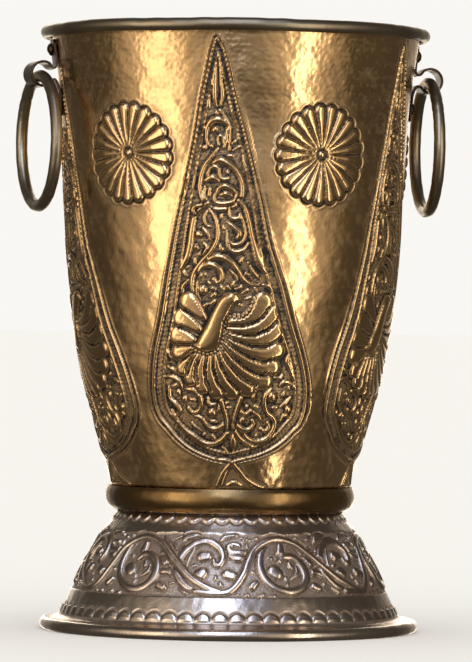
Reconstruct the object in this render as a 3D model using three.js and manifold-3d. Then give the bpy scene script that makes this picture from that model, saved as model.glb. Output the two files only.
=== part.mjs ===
// A footed brass vessel with two ring handles, modelled in millimetres.
//
// The object stands on the plane z = 0 with its axis on +Z. The two handles hang on the X axis.
// A raised beaker of sheet brass has its lip rolled outwards over a wire. Its lower end is turned in to a
// flange, which carries a loose-looking but soldered floor disc and stands on the flange of a spreading
// foot. A half-round collar hides that joint. The foot's edge is rolled under, over a second wire.
// On each side a strap is bent into an eye and fastened to the wall with two rivets. A ring of round rod
// hangs in the eye and swings about the tangent of the wall.

import * as THREE from "three";
import { mergeVertices } from "three/addons/utils/BufferGeometryUtils.js";
import Module from "manifold-3d";

// ---- Driving dimensions ----

const SHEET = 1.0; // thickness of the brass sheet
const GAP = 0.3; // clearance between pieces that touch

const BEAKER = {
  flangeInner: 48, // the in-turned flange at the lower end
  flangeZ: 60.4, // its underside
  // The outer face of the wall, as radius and height, from the flange's corner to just under the lip.
  wall: [
    [54.2, 61.4],
    [55.0, 65.0],
    [56.9, 69.0],
    [59.3, 72.2],
    [62.0, 81.8],
    [66.3, 96.9],
    [70.6, 112.0],
    [74.3, 127.0],
    [79.2, 157.0],
    [82.6, 187.0],
    [84.4, 217.0],
    [86.2, 248.0],
    [89.1, 277.6],
    [91.0, 293.0],
  ],
  wallSteps: 12,
};
const LIP = { radius: 94.2, z: 296.95, tube: 3.05, wrap: 300, steps: 8 }; // centre, section and degrees of the roll
const FOOT = {
  // The outer face of the spreading foot, from its top flange to the start of the rolled edge.
  face: [
    [55.4, 59.4],
    [57.3, 56.6],
    [60.0, 53.2],
    [62.6, 50.0],
    [65.9, 44.2],
    [72.8, 32.1],
    [78.6, 20.1],
    [82.9, 10.4],
    [84.6, 7.6],
    [87.6, 6.4],
  ],
  faceSteps: 10,
  flangeInner: 48,
  flangeZ: 60.1, // the top of its flange
};
const EDGE = { radius: 91.3, z: 2.75, tube: 3.05, wrap: 270, steps: 8 }; // the rolled edge, worn flat below
const COLLAR = [
  // The outer face of the half-round collar, from its lip on the wall to its lip over the foot.
  [60.3, 71.4],
  [61.2, 69.2],
  [61.3, 66.0],
  [60.2, 62.8],
  [58.4, 61.0],
  [56.9, 60.6],
];
const FLOOR = { radius: 51.6, z: 61.7, thickness: 1.2 };

const ROD = 3.0; // radius of the ring's rod
const RING = { radius: 32.2, x: 98.1, z: 274.4, steps: 36, sides: 8 }; // x and z are those of its pivot
const STRAP = {
  width: 14.5,
  thickness: 1.2,
  eye: { x: 98.1, z: 275.4, radius: 6.0, open: 60 }, // middle of the strap, and degrees left open
  top: 292.6, // the strap's upper end
  leave: 281.6, // where its upper leg leaves the wall
  land: 267.8, // where its lower leg meets the wall again
  bottom: 254.8, // the strap's lower end
};
const RIVET = { shank: 1.6, head: 3.2, dome: 2.5, tail: 2.7, tailHeight: 1.3, sides: 12 };
const RIVET_HEIGHTS = { upper: 287.9, lower: 261.4 };
const HANDLES = [
  // Azimuth of each hanger, and how far its eye and ring are bent askew from the wall's tangent.
  { side: "left", azimuth: 180, skew: 9 },
  { side: "right", azimuth: 0, skew: 0 },
];

const ROUND = 40; // sides of the turned pieces
const WIRE_SIDES = 6;
const DEGREE = Math.PI / 180;

// ---- Materials ----

const brass = new THREE.MeshStandardMaterial({ color: 0x9c7a3c, roughness: 0.34, metalness: 1 });
const footBrass = new THREE.MeshStandardMaterial({ color: 0x84684a, roughness: 0.4, metalness: 1 });
const rodBrass = new THREE.MeshStandardMaterial({ color: 0x8a7b5c, roughness: 0.36, metalness: 1 });
const darkBrass = new THREE.MeshStandardMaterial({ color: 0x5f4c2c, roughness: 0.46, metalness: 1 });

// ---- Tools for making solids ----

const wasm = await Module();
wasm.setup();

const vector = ([a, b]) => new THREE.Vector2(a, b);

// A geometry as a solid that can be cut.
function solid(geometry) {
  const plain = geometry.index ? geometry.toNonIndexed() : geometry.clone();
  plain.deleteAttribute("normal");
  plain.deleteAttribute("uv");
  const merged = mergeVertices(plain, 1e-4);
  return new wasm.Manifold(
    new wasm.Mesh({
      numProp: 3,
      vertProperties: merged.attributes.position.array,
      triVerts: new Uint32Array(merged.index.array),
    }),
  );
}

// A cut solid back as a geometry.
function geometryOf(manifold) {
  const mesh = manifold.getMesh();
  const geometry = new THREE.BufferGeometry();
  geometry.setAttribute("position", new THREE.BufferAttribute(mesh.vertProperties, 3));
  geometry.setIndex(new THREE.BufferAttribute(mesh.triVerts, 1));
  geometry.computeVertexNormals();
  return geometry;
}

// A smooth line through a few points, with evenly spaced points on it.
function smooth(points, steps) {
  return new THREE.SplineCurve(points.map(vector)).getSpacedPoints(steps);
}

// Points on an arc, from one angle to another in degrees.
function arc(x, y, radius, from, to, steps) {
  return Array.from({ length: steps + 1 }, (_, i) => {
    const angle = (from + ((to - from) * i) / steps) * DEGREE;
    return new THREE.Vector2(x + radius * Math.cos(angle), y + radius * Math.sin(angle));
  });
}

// The line that runs beside another one, at a distance to its left.
function beside(line, distance) {
  return line.map((point, i) => {
    const before = line[Math.max(i - 1, 0)];
    const after = line[Math.min(i + 1, line.length - 1)];
    const along = after.clone().sub(before).normalize();
    return new THREE.Vector2(point.x - along.y * distance, point.y + along.x * distance);
  });
}

// The closed outline of a sheet whose one face follows a line, with its thickness to the left of it.
function sheetOutline(face, thickness) {
  return [...face, ...beside(face, thickness).reverse()];
}

// A profile of radius and height turned about Z.
function turned(outline, sides) {
  const geometry = new THREE.LatheGeometry([...outline, outline[0]], sides);
  geometry.rotateX(Math.PI / 2);
  return geometry;
}

// The same, whichever way round the outline runs.
function turnedSolid(outline, sides = ROUND) {
  const area = THREE.ShapeUtils.area(outline);
  return turned(area > 0 ? outline : outline.slice().reverse(), sides);
}

function piece(name, geometry, material) {
  const mesh = new THREE.Mesh(geometry, material);
  mesh.name = name;
  return mesh;
}

// ---- The beaker and its foot ----

// The outer face of the beaker's wall, from the flange's corner to under the lip.
const wallLine = smooth(BEAKER.wall, BEAKER.wallSteps);

// Radius of the wall's outer face at a height, and its slope there in radius per height.
function wallAt(z) {
  const i = Math.max(1, wallLine.findIndex((point) => point.y >= z));
  const [low, high] = [wallLine[i - 1], wallLine[i]];
  const slope = (high.x - low.x) / (high.y - low.y);
  return { radius: low.x + slope * (z - low.y), slope };
}

function beakerOutline() {
  const face = [
    new THREE.Vector2(BEAKER.flangeInner, BEAKER.flangeZ),
    new THREE.Vector2(BEAKER.wall[0][0] - SHEET, BEAKER.flangeZ),
    ...wallLine,
    ...arc(LIP.radius, LIP.z, LIP.tube - SHEET, 180, 180 - LIP.wrap, LIP.steps),
  ];
  return sheetOutline(face, SHEET);
}

function footOutline() {
  const roll = arc(EDGE.radius, EDGE.z, EDGE.tube, 90, 90 - EDGE.wrap, EDGE.steps);
  const face = [
    new THREE.Vector2(FOOT.flangeInner, FOOT.flangeZ),
    new THREE.Vector2(FOOT.face[0][0] - SHEET, FOOT.flangeZ),
    ...smooth(FOOT.face, FOOT.faceSteps),
    ...roll,
  ];
  const outline = sheetOutline(face, -SHEET);
  outline.forEach((point) => {
    point.y = Math.max(point.y, 0); // the ring that it stands on is worn flat
  });
  return outline;
}

function wireIn(roll) {
  const radius = roll.tube - SHEET - GAP;
  return turnedSolid(arc(roll.radius, roll.z, radius, 0, 360, WIRE_SIDES).slice(0, -1));
}

function floorOutline() {
  const { radius, z, thickness } = FLOOR;
  return [
    [0, z],
    [radius, z],
    [radius, z + thickness],
    [0, z + thickness],
  ].map(vector);
}

// ---- A handle, with its radius along +X and its tangent along Y ----

// A point beside the wall, at a distance from its outer face.
function offWall(z, distance) {
  return [wallAt(z).radius + distance, z];
}

// The middle of the strap: down the wall, round the eye and down the wall again.
function strapLine() {
  const { eye, top, leave, land, bottom, thickness } = STRAP;
  const off = GAP + thickness / 2;
  const half = eye.open / 2;
  const loop = arc(eye.x, eye.z, eye.radius, 180 - half, half - 180, 14);
  const [first, last] = [loop[0], loop[loop.length - 1]];
  return [
    ...[top, RIVET_HEIGHTS.upper, leave + 1.5].map((z) => vector(offWall(z, off))),
    ...smooth([offWall(leave, off), [first.x - 2.1, first.y + 0.5], [first.x, first.y]], 5).slice(0, -1),
    ...loop,
    ...smooth([[last.x, last.y], [last.x - 2.2, last.y - 0.3], offWall(land, off)], 5).slice(1),
    ...[RIVET_HEIGHTS.lower, bottom].map((z) => vector(offWall(z, off))),
  ];
}

// Turns the part of a strap that stands off the wall about the upright line through its eye.
function bendAskew(geometry, skew) {
  const point = new THREE.Vector3();
  const position = geometry.attributes.position;
  const upright = new THREE.Vector3(0, 0, 1);
  const eye = new THREE.Vector3(STRAP.eye.x, 0, 0);
  for (let i = 0; i < position.count; i++) {
    point.fromBufferAttribute(position, i);
    const off = point.x - wallAt(point.z).radius;
    const turn = skew * DEGREE * THREE.MathUtils.smoothstep(off, 1.8, STRAP.eye.radius);
    point.sub(eye).applyAxisAngle(upright, turn).add(eye);
    position.setXYZ(i, point.x, point.y, point.z);
  }
}

function strapGeometry(skew) {
  const { width, thickness } = STRAP;
  const line = strapLine();
  const outline = [...beside(line, thickness / 2), ...beside(line, -thickness / 2).reverse()];
  const geometry = new THREE.ExtrudeGeometry(new THREE.Shape(outline), {
    depth: width,
    bevelEnabled: false,
  });
  geometry.rotateX(Math.PI / 2);
  geometry.translate(0, width / 2, 0);
  bendAskew(geometry, skew);
  return geometry;
}

// Turns a piece made along +X so that it stands square on the wall at a height.
function ontoWall(geometry, z) {
  const { radius, slope } = wallAt(z);
  geometry.rotateY(Math.atan(slope));
  geometry.translate(radius, 0, z);
  return geometry;
}

// A rivet along +X: its origin is on the wall's outer face.
function rivetGeometry(z) {
  const { shank, head, dome, tail, tailHeight, sides } = RIVET;
  const seat = STRAP.thickness + 2 * GAP; // where the head bears on the strap
  const back = -SHEET - GAP; // where the tail bears on the wall's inner face
  const profile = [
    [0, back - tailHeight],
    [tail * 0.7, back - tailHeight],
    [tail, back - tailHeight * 0.5],
    [tail, back],
    [shank, back],
    [shank, seat],
    [head, seat],
    [head * 0.86, seat + dome * 0.52],
    [head * 0.5, seat + dome * 0.88],
    [0, seat + dome],
  ].map(vector);
  const geometry = new THREE.LatheGeometry(profile, sides);
  geometry.rotateZ(-Math.PI / 2);
  return ontoWall(geometry, z);
}

// The hole for a rivet, right through strap and wall.
function rivetHole(z) {
  const geometry = new THREE.CylinderGeometry(RIVET.shank + GAP, RIVET.shank + GAP, 12, RIVET.sides);
  geometry.rotateZ(-Math.PI / 2);
  return ontoWall(geometry, z);
}

function ringGeometry() {
  const geometry = new THREE.TorusGeometry(RING.radius, ROD, RING.sides, RING.steps);
  geometry.rotateY(Math.PI / 2);
  geometry.translate(0, 0, -RING.radius);
  return geometry;
}

function handle({ side, azimuth, skew }) {
  const group = new THREE.Group();
  const heights = Object.entries(RIVET_HEIGHTS);
  let strap = solid(strapGeometry(skew));
  for (const [level, z] of heights) {
    strap = strap.subtract(solid(rivetHole(z)));
    group.add(piece(`rivet_${side}_${level}`, rivetGeometry(z), darkBrass));
  }
  group.add(piece(`hanger_${side}`, geometryOf(strap), darkBrass));
  const ring = piece(`ring_${side}`, ringGeometry(), rodBrass);
  ring.position.set(RING.x, 0, RING.z);
  ring.rotation.z = skew * DEGREE;
  group.add(ring);
  group.rotation.z = azimuth * DEGREE;
  return group;
}

// The beaker with the holes of both handles' rivets.
function beakerGeometry() {
  let beaker = solid(turnedSolid(beakerOutline()));
  for (const { azimuth } of HANDLES) {
    for (const z of Object.values(RIVET_HEIGHTS)) {
      beaker = beaker.subtract(solid(rivetHole(z).rotateZ(azimuth * DEGREE)));
    }
  }
  return geometryOf(beaker);
}

// ---- The object ----

const vessel = new THREE.Group();
vessel.add(
  piece("beaker", beakerGeometry(), brass),
  piece("lip_wire", wireIn(LIP), rodBrass),
  piece("floor_disc", turnedSolid(floorOutline()), brass),
  piece("collar", turnedSolid(sheetOutline(COLLAR.map(vector), -SHEET)), brass),
  piece("foot", turnedSolid(footOutline()), footBrass),
  piece("foot_wire", wireIn(EDGE), rodBrass),
  ...HANDLES.map(handle),
);

export default vessel;
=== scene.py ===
import math

import bpy
import numpy as np
from mathutils import Matrix, Vector


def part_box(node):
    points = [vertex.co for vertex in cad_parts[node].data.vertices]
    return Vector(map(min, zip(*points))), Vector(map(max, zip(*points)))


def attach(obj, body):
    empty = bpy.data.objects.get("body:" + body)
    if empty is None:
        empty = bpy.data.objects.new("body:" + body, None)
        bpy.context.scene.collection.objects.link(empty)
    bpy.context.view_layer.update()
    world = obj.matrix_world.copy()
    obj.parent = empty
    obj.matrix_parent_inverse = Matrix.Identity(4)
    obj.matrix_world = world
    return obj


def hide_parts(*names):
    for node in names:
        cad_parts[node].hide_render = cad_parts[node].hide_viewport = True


bl_info = {
    "name": "Footed brass vessel",
    "version": (1, 0, 0),
    "blender": (4, 5, 0),
    "location": "View3D > Sidebar > Vessel",
    "description": "A repousse brass vessel on a spreading foot, with two ring handles",
    "category": "Object",
}

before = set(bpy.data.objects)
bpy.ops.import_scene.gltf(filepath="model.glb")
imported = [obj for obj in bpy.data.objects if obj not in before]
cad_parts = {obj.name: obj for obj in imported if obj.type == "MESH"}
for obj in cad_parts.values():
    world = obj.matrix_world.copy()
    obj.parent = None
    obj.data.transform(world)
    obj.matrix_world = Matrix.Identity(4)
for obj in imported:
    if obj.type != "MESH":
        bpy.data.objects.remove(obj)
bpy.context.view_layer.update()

# ---- The sizes of the sheet work, in millimetres, as the raised solids have them ----

MM = 0.001
SHEET = 1.0  # thickness
GAP = 0.3  # left between pieces that are held together

FLANGE_IN = 48.0
BEAKER_FACE = [  # radius and height of the wall's outer face, from the flange's corner to under the lip
    (54.2, 61.4), (55.0, 65.0), (56.9, 69.0), (59.3, 72.2), (62.0, 81.8), (66.3, 96.9), (70.6, 112.0),
    (74.3, 127.0), (79.2, 157.0), (82.6, 187.0), (84.4, 217.0), (86.2, 248.0), (89.1, 277.6), (91.0, 293.0),
]
FLANGE_Z = 60.4
WALL_TOP = 294.4  # where the wall passes behind the rolled lip
LIP = {"radius": 94.2, "z": 296.95, "tube": 3.05, "wrap": 300}
FOOT_FACE = [  # from the foot's top flange to the start of its rolled edge
    (55.4, 59.4), (57.3, 56.6), (60.0, 53.2), (62.6, 50.0), (65.9, 44.2), (72.8, 32.1), (78.6, 20.1),
    (82.9, 10.4), (84.6, 7.6), (87.6, 6.4),
]
FOOT_FLANGE_Z = 60.1
EDGE = {"radius": 91.3, "z": 2.75, "tube": 3.05, "wrap": 270}
COLLAR_FACE = [(60.3, 71.4), (61.2, 69.2), (61.3, 66.0), (60.2, 62.8), (58.4, 61.0), (56.9, 60.6)]

# ---- How the relief is laid out ----

PANELS = 5
PITCH = 360 / PANELS
FRONT = -98.9  # azimuth that the front panel faces, and that it is seen from
PANEL_TURN = -1.5  # the front panel's middle, to the right of that
ROSETTE = {"z": 235.0, "petals": 21, "reach": 24.2, "angle": 36.0}
ROSETTE_SHIFT = [-4.5, 0.0, 0.0, 0.0, 0.5]  # each rosette's own slip from its place, in degrees
HANGERS = (0.0, 180.0)  # azimuths that the relief fades out at, under the straps
SEAM = {"low": -35.4, "high": -16.5, "from": 150.0, "to": 228.0}  # the plain line between two panels

# Each figure of the panel is a list of strokes. A stroke runs through points of (across, height,
# half-width): across is measured along the wall from the panel's middle line, to the right.

PANEL_LEFT = [  # the border's main ridge, from the tip down the left side to where the two sides cross
    (-6.8, 290.5), (-8.7, 285), (-10.0, 279), (-11.8, 270), (-13.8, 260), (-15.3, 250), (-17.0, 240),
    (-19.1, 230),
    (-21.0, 220), (-23.0, 210), (-25.0, 200), (-26.8, 190), (-28.6, 180), (-30.3, 170), (-31.9, 160),
    (-33.9, 150), (-36.2, 140), (-37.6, 130), (-37.9, 121), (-36.9, 113), (-34.3, 107), (-29.8, 102),
    (-24.5, 96.5), (-18.5, 92), (-11.5, 88.6), (-4.0, 86.5), (2.2, 85.6),
]
PANEL_RIGHT = [
    (-6.8, 290.5), (-3.6, 285), (-1.8, 279), (0.3, 270), (2.8, 260), (5.6, 250), (8.3, 240), (10.8, 230),
    (13.2, 220), (15.6, 210), (17.6, 200), (20.0, 190), (23.2, 180), (26.5, 170), (29.2, 160),
    (32.2, 150), (35.8, 140), (38.5, 130), (39.7, 121), (39.2, 112), (36.6, 104.6), (32.6, 100.6),
    (29.0, 97), (24.5, 93.6), (19.5, 90.8), (13.0, 88.4), (6.5, 86.8), (2.2, 85.6),
]
CROSSING = [  # the border's two ridges cross below the panel and splay to the collar
    [(-4.0, 86.6, 0.75), (1.6, 85.6, 0.8), (6.0, 81.4, 0.8), (9.0, 77.6, 0.8), (13.2, 74.7, 0.8),
     (18.0, 72.8, 0.7)],
    [(3.0, 84.0, 0.6), (7.2, 78.6, 0.65), (12.0, 73.6, 0.6)],
    [(8.5, 87.2, 0.75), (2.8, 85.4, 0.8), (-0.8, 82.0, 0.8), (-3.0, 78.5, 0.8), (-5.0, 73.5, 0.7)],
    [(2.0, 83.6, 0.6), (-0.4, 79.6, 0.6), (-2.4, 74.0, 0.6)],
    [(0.0, 74.0, 0.6), (3.4, 75.4, 1.1), (7.2, 73.9, 0.5)],
]

TIP_LEAVES = [
    [(-6.9, 284, 0.4), (-7.4, 273, 0.85), (-7.6, 263, 1.25), (-6.6, 257.6, 0.6)],
    [(-5.6, 282, 0.4), (-4.5, 271, 0.8), (-3.7, 263, 1.1), (-4.6, 257.2, 0.6)],
    [(-10.2, 270, 0.4), (-10.6, 262, 0.8), (-10.0, 256.5, 0.5)],
    [(-1.8, 268, 0.4), (-0.6, 261, 0.7), (0.6, 254.5, 0.4)],
]
TIP_SCROLL = [
    [(-5.0, 255.8, 0.7), (-2.4, 252.4, 0.75), (-0.4, 248.0, 0.8), (0.2, 242.8, 0.8), (-0.2, 236.4, 0.8)],
    [(-1.6, 248.8, 0.7), (-4.6, 251.0, 1.5), (-8.2, 250.6, 1.5), (-10.8, 247.4, 1.2), (-11.3, 242.6, 0.9),
     (-10.6, 238.6, 0.7)],
    [(-1.4, 246.4, 0.7), (-1.6, 242.0, 0.9), (-2.6, 237.6, 0.9)],
    [(-2.6, 239.8, 0.7), (-3.2, 242.4, 0.8), (-4.8, 243.3, 0.9), (-5.8, 241.6, 0.8), (-5.4, 238.4, 0.7),
     (-6.6, 235.6, 0.6)],
    [(-6.6, 254.4, 1.1), (-6.4, 254.2, 1.1)],
    [(-12.4, 237.6, 1.3), (-12.2, 237.4, 1.3)],
    [(-8.8, 238.4, 1.1), (-8.7, 238.2, 1.1)],
    [(-6.8, 246.4, 1.6), (-7.6, 245.8, 1.3)],
]
TIP_BUDS = [
    [(1.0, 239.2, 0.4), (4.4, 242.4, 0.9)],
    [(1.6, 236.2, 0.4), (4.4, 238.0, 0.8)],
    [(3.6, 247.6, 0.4), (4.4, 244.4, 0.8), (4.0, 241.6, 0.4)],
    [(-0.4, 233.8, 0.9), (1.6, 233.6, 0.8)],
    [(6.6, 233.6, 0.5), (7.4, 229.8, 0.9), (9.4, 225.8, 0.5)],
    [(-15.6, 233.8, 0.5), (-16.2, 229.2, 0.8), (-17.2, 224.8, 0.5)],
]
MEDALLION = [
    [(-5.6, 237.2, 0.6), (-8.6, 233.4, 0.9), (-12.0, 228.8, 1.1), (-14.0, 223.0, 1.1),
     (-14.3, 217.2, 1.1), (-12.8, 212.2, 1.0), (-9.6, 208.9, 1.0), (-5.4, 207.9, 1.1),
     (-0.6, 208.2, 1.1)],
    [(-8.0, 230.2, 0.7), (-4.2, 231.6, 1.5), (0.6, 229.2, 1.5), (4.2, 225.0, 1.3), (6.3, 219.8, 1.2),
     (6.2, 214.4, 1.2), (3.2, 209.8, 1.1), (-0.8, 208.0, 1.0)],
    [(-10.8, 224.6, 0.7), (-9.4, 227.2, 0.8), (-6.8, 228.5, 0.9), (-4.9, 226.8, 0.9), (-4.6, 224.2, 0.8),
     (-2.8, 222.4, 0.9), (-0.6, 222.8, 0.8)],
    [(-0.6, 225.6, 1.0), (-1.0, 226.2, 0.8)],
    [(-11.6, 221.6, 0.8), (-8.4, 223.2, 1.6), (-5.2, 221.6, 0.8)],
    [(-5.6, 217.4, 0.8), (-2.6, 219.2, 1.2), (0.6, 218.2, 1.2), (3.4, 215.8, 0.8)],
    [(-5.2, 217.0, 0.7), (-7.2, 214.2, 0.9), (-6.2, 211.2, 0.9), (-2.2, 210.7, 1.1), (2.2, 212.0, 0.9),
     (3.6, 215.2, 0.7)],
    [(-4.4, 214.7, 0.5), (-1.8, 215.4, 1.1), (1.2, 214.6, 0.5)],
    [(-11.8, 218.6, 0.6), (-12.2, 214.6, 0.8), (-10.4, 211.6, 0.6)],
    [(-9.4, 217.6, 1.0), (-9.8, 214.4, 0.9)],
]
SIDE_LEAVES = [  # the two long leaves that fall from the medallion, each with a hooked end
    [(-10.2, 211.0, 0.8), (-14.0, 208.4, 1.1), (-16.8, 203.8, 1.3), (-18.0, 197.6, 1.5),
     (-18.8, 190.8, 1.6), (-20.4, 184.6, 1.5), (-23.6, 179.6, 1.2), (-27.4, 177.0, 0.6)],
    [(4.6, 212.4, 0.9), (7.8, 208.4, 1.1), (9.8, 202.0, 1.3), (11.2, 195.6, 1.3), (12.9, 189.2, 1.6),
     (14.6, 183.6, 2.0), (17.4, 179.4, 1.7), (21.2, 176.6, 0.6)],
    [(-13.4, 210.0, 0.6), (-16.4, 209.2, 0.9), (-17.8, 207.4, 1.0), (-16.6, 205.8, 0.8)],
]
BREAST_SCROLLS = [
    [(-9.8, 208.2, 0.6), (-7.0, 204.6, 0.9), (-5.4, 199.4, 1.1), (-5.4, 194.0, 1.1), (-7.4, 189.2, 1.0),
     (-10.8, 185.0, 1.0), (-14.4, 180.8, 1.1), (-17.0, 176.4, 1.2), (-17.8, 171.2, 1.1),
     (-17.0, 165.4, 0.7)],
    [(-9.8, 183.6, 0.8), (-6.2, 185.0, 1.5), (-2.2, 184.4, 1.6), (1.8, 181.8, 1.5), (4.6, 178.0, 1.4),
     (7.4, 174.2, 1.2), (11.0, 171.8, 0.9), (14.6, 171.6, 0.5)],
    [(-14.6, 177.6, 0.8), (-12.8, 180.0, 1.3), (-9.2, 181.2, 1.5), (-5.6, 179.9, 1.5), (-3.3, 177.0, 1.3),
     (-3.4, 173.6, 1.1), (-5.8, 172.4, 1.0), (-7.2, 174.2, 1.1)],
    [(-12.4, 169.2, 2.2), (-12.2, 168.8, 2.2)],
    [(-15.2, 172.6, 0.6), (-15.2, 167.6, 0.8), (-13.4, 163.4, 0.5)],
]
BREAST_CURLS = [
    [(0.2, 208.4, 0.6), (0.4, 205.2, 0.9), (2.4, 203.4, 1.1), (4.8, 203.8, 1.2)],
    [(5.2, 205.8, 0.6), (7.4, 201.2, 0.8), (8.3, 196.4, 0.9), (6.6, 192.4, 0.9), (3.0, 190.8, 0.9),
     (0.4, 192.2, 0.7)],
    [(-0.8, 197.2, 0.6), (-0.7, 192.0, 0.8), (1.0, 188.6, 1.0), (4.2, 187.4, 1.3), (7.4, 188.8, 1.0),
     (9.6, 192.0, 0.6)],
    [(-0.6, 201.6, 0.6), (2.6, 199.4, 1.1), (5.4, 196.4, 1.3), (4.4, 194.2, 0.9)],
    [(-10.6, 207.2, 0.6), (-12.2, 203.6, 0.9), (-10.8, 200.2, 0.8), (-9.0, 199.4, 0.6)],
    [(-15.2, 195.8, 1.7), (-14.2, 195.4, 1.5)],
    [(-16.4, 190.0, 1.5), (-15.4, 189.2, 1.2)],
    [(-13.2, 199.4, 0.5), (-10.4, 196.4, 0.9), (-9.4, 193.0, 0.5)],
    [(-12.0, 191.6, 0.5), (-10.4, 189.4, 0.9), (-12.6, 186.0, 0.5)],
    [(0.8, 178.6, 0.5), (3.6, 175.8, 0.9), (4.2, 173.0, 0.5)],
    [(9.4, 182.4, 0.5), (12.0, 178.0, 1.0), (15.2, 174.6, 0.5)],
    [(16.8, 171.8, 0.5), (20.2, 170.6, 0.9), (22.6, 167.6, 0.5)],
    [(-19.8, 173.6, 0.5), (-22.4, 170.2, 1.0), (-22.6, 165.8, 0.5)],
]

# The peacock: its tail's feathers fan out from the root, clockwise from the upper right.
FEATHERS = [
    [(0.6, 153.6, 1.0), (6.5, 153.9, 2.0), (12.2, 156.6, 2.9), (15.8, 160.4, 3.4), (17.0, 163.2, 3.3)],
    [(0.0, 150.4, 0.9), (7.5, 149.5, 1.6), (14.6, 150.6, 2.3), (19.8, 154.0, 2.7), (22.6, 157.8, 2.3)],
    [(-0.4, 148.1, 0.8), (6.0, 146.0, 1.5), (13.0, 144.5, 2.2), (20.0, 146.3, 2.8), (24.3, 149.4, 2.5)],
    [(-0.9, 146.0, 0.8), (5.0, 142.0, 1.5), (12.0, 138.8, 2.2), (19.0, 138.0, 2.6), (24.6, 140.0, 2.6)],
    [(-1.9, 144.0, 0.8), (4.0, 138.0, 1.6), (11.0, 133.2, 2.3), (17.0, 130.9, 2.8), (22.0, 131.8, 2.8)],
    [(-3.0, 141.6, 0.8), (1.6, 134.8, 1.7), (8.0, 128.4, 2.3), (14.0, 124.9, 2.7), (18.4, 125.0, 2.6)],
    [(-4.2, 140.2, 0.8), (-0.9, 132.4, 1.7), (4.0, 125.6, 2.3), (9.4, 121.2, 2.7)],
    [(-6.0, 139.2, 0.8), (-4.9, 130.8, 1.7), (-1.6, 123.6, 2.2), (2.2, 119.6, 2.5)],
    [(-8.5, 138.6, 0.8), (-9.0, 130.2, 1.6), (-7.4, 123.2, 2.1), (-5.0, 119.4, 2.3)],
    [(-11.6, 138.4, 0.8), (-13.2, 131.0, 1.6), (-13.4, 125.0, 2.1), (-11.8, 121.6, 2.2)],
    [(-14.2, 138.8, 0.8), (-17.2, 133.0, 1.6), (-18.4, 128.4, 2.1), (-17.8, 125.4, 2.2)],
    [(-15.8, 139.5, 0.8), (-19.4, 135.8, 1.6), (-21.8, 132.0, 2.2), (-22.2, 130.2, 2.2)],
    [(-16.6, 140.8, 0.8), (-20.4, 139.4, 1.8), (-24.2, 138.4, 2.6)],
    [(-15.8, 144.2, 0.9), (-20.2, 145.4, 2.1), (-24.6, 146.6, 3.1)],
    [(-13.6, 149.4, 0.9), (-18.2, 152.6, 2.2), (-22.6, 155.0, 3.1)],
    [(-11.4, 155.4, 0.9), (-15.6, 159.4, 2.1), (-19.4, 163.0, 3.0)],
]
BODY = [
    [(5.4, 164.3, 0.7), (2.4, 165.2, 2.3), (-0.4, 163.0, 3.0), (-3.0, 158.6, 3.2), (-4.9, 153.6, 3.6),
     (-6.6, 148.6, 4.1), (-8.9, 144.6, 4.2), (-12.2, 142.2, 2.6), (-16.0, 142.2, 0.8)],
]
CREST = [
    [(3.6, 169.4, 0.5), (6.4, 170.6, 0.9)],
    [(6.8, 167.6, 0.4), (9.6, 169.2, 0.9)],
    [(8.2, 164.6, 0.4), (11.0, 165.6, 0.8)],
]
COLLAR_OF_TAIL = [(-15.6, 139.6), (-10.4, 137.9), (-5.8, 139.2), (-3.0, 142.4), (-2.0, 147.6),
                  (-1.2, 153.4), (1.2, 156.6), (5.2, 156.9)]
TAIL_ROW = [(1.0, 156.3), (5.4, 155.9), (9.4, 157.9), (11.4, 161.6), (12.8, 165.2)]

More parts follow.
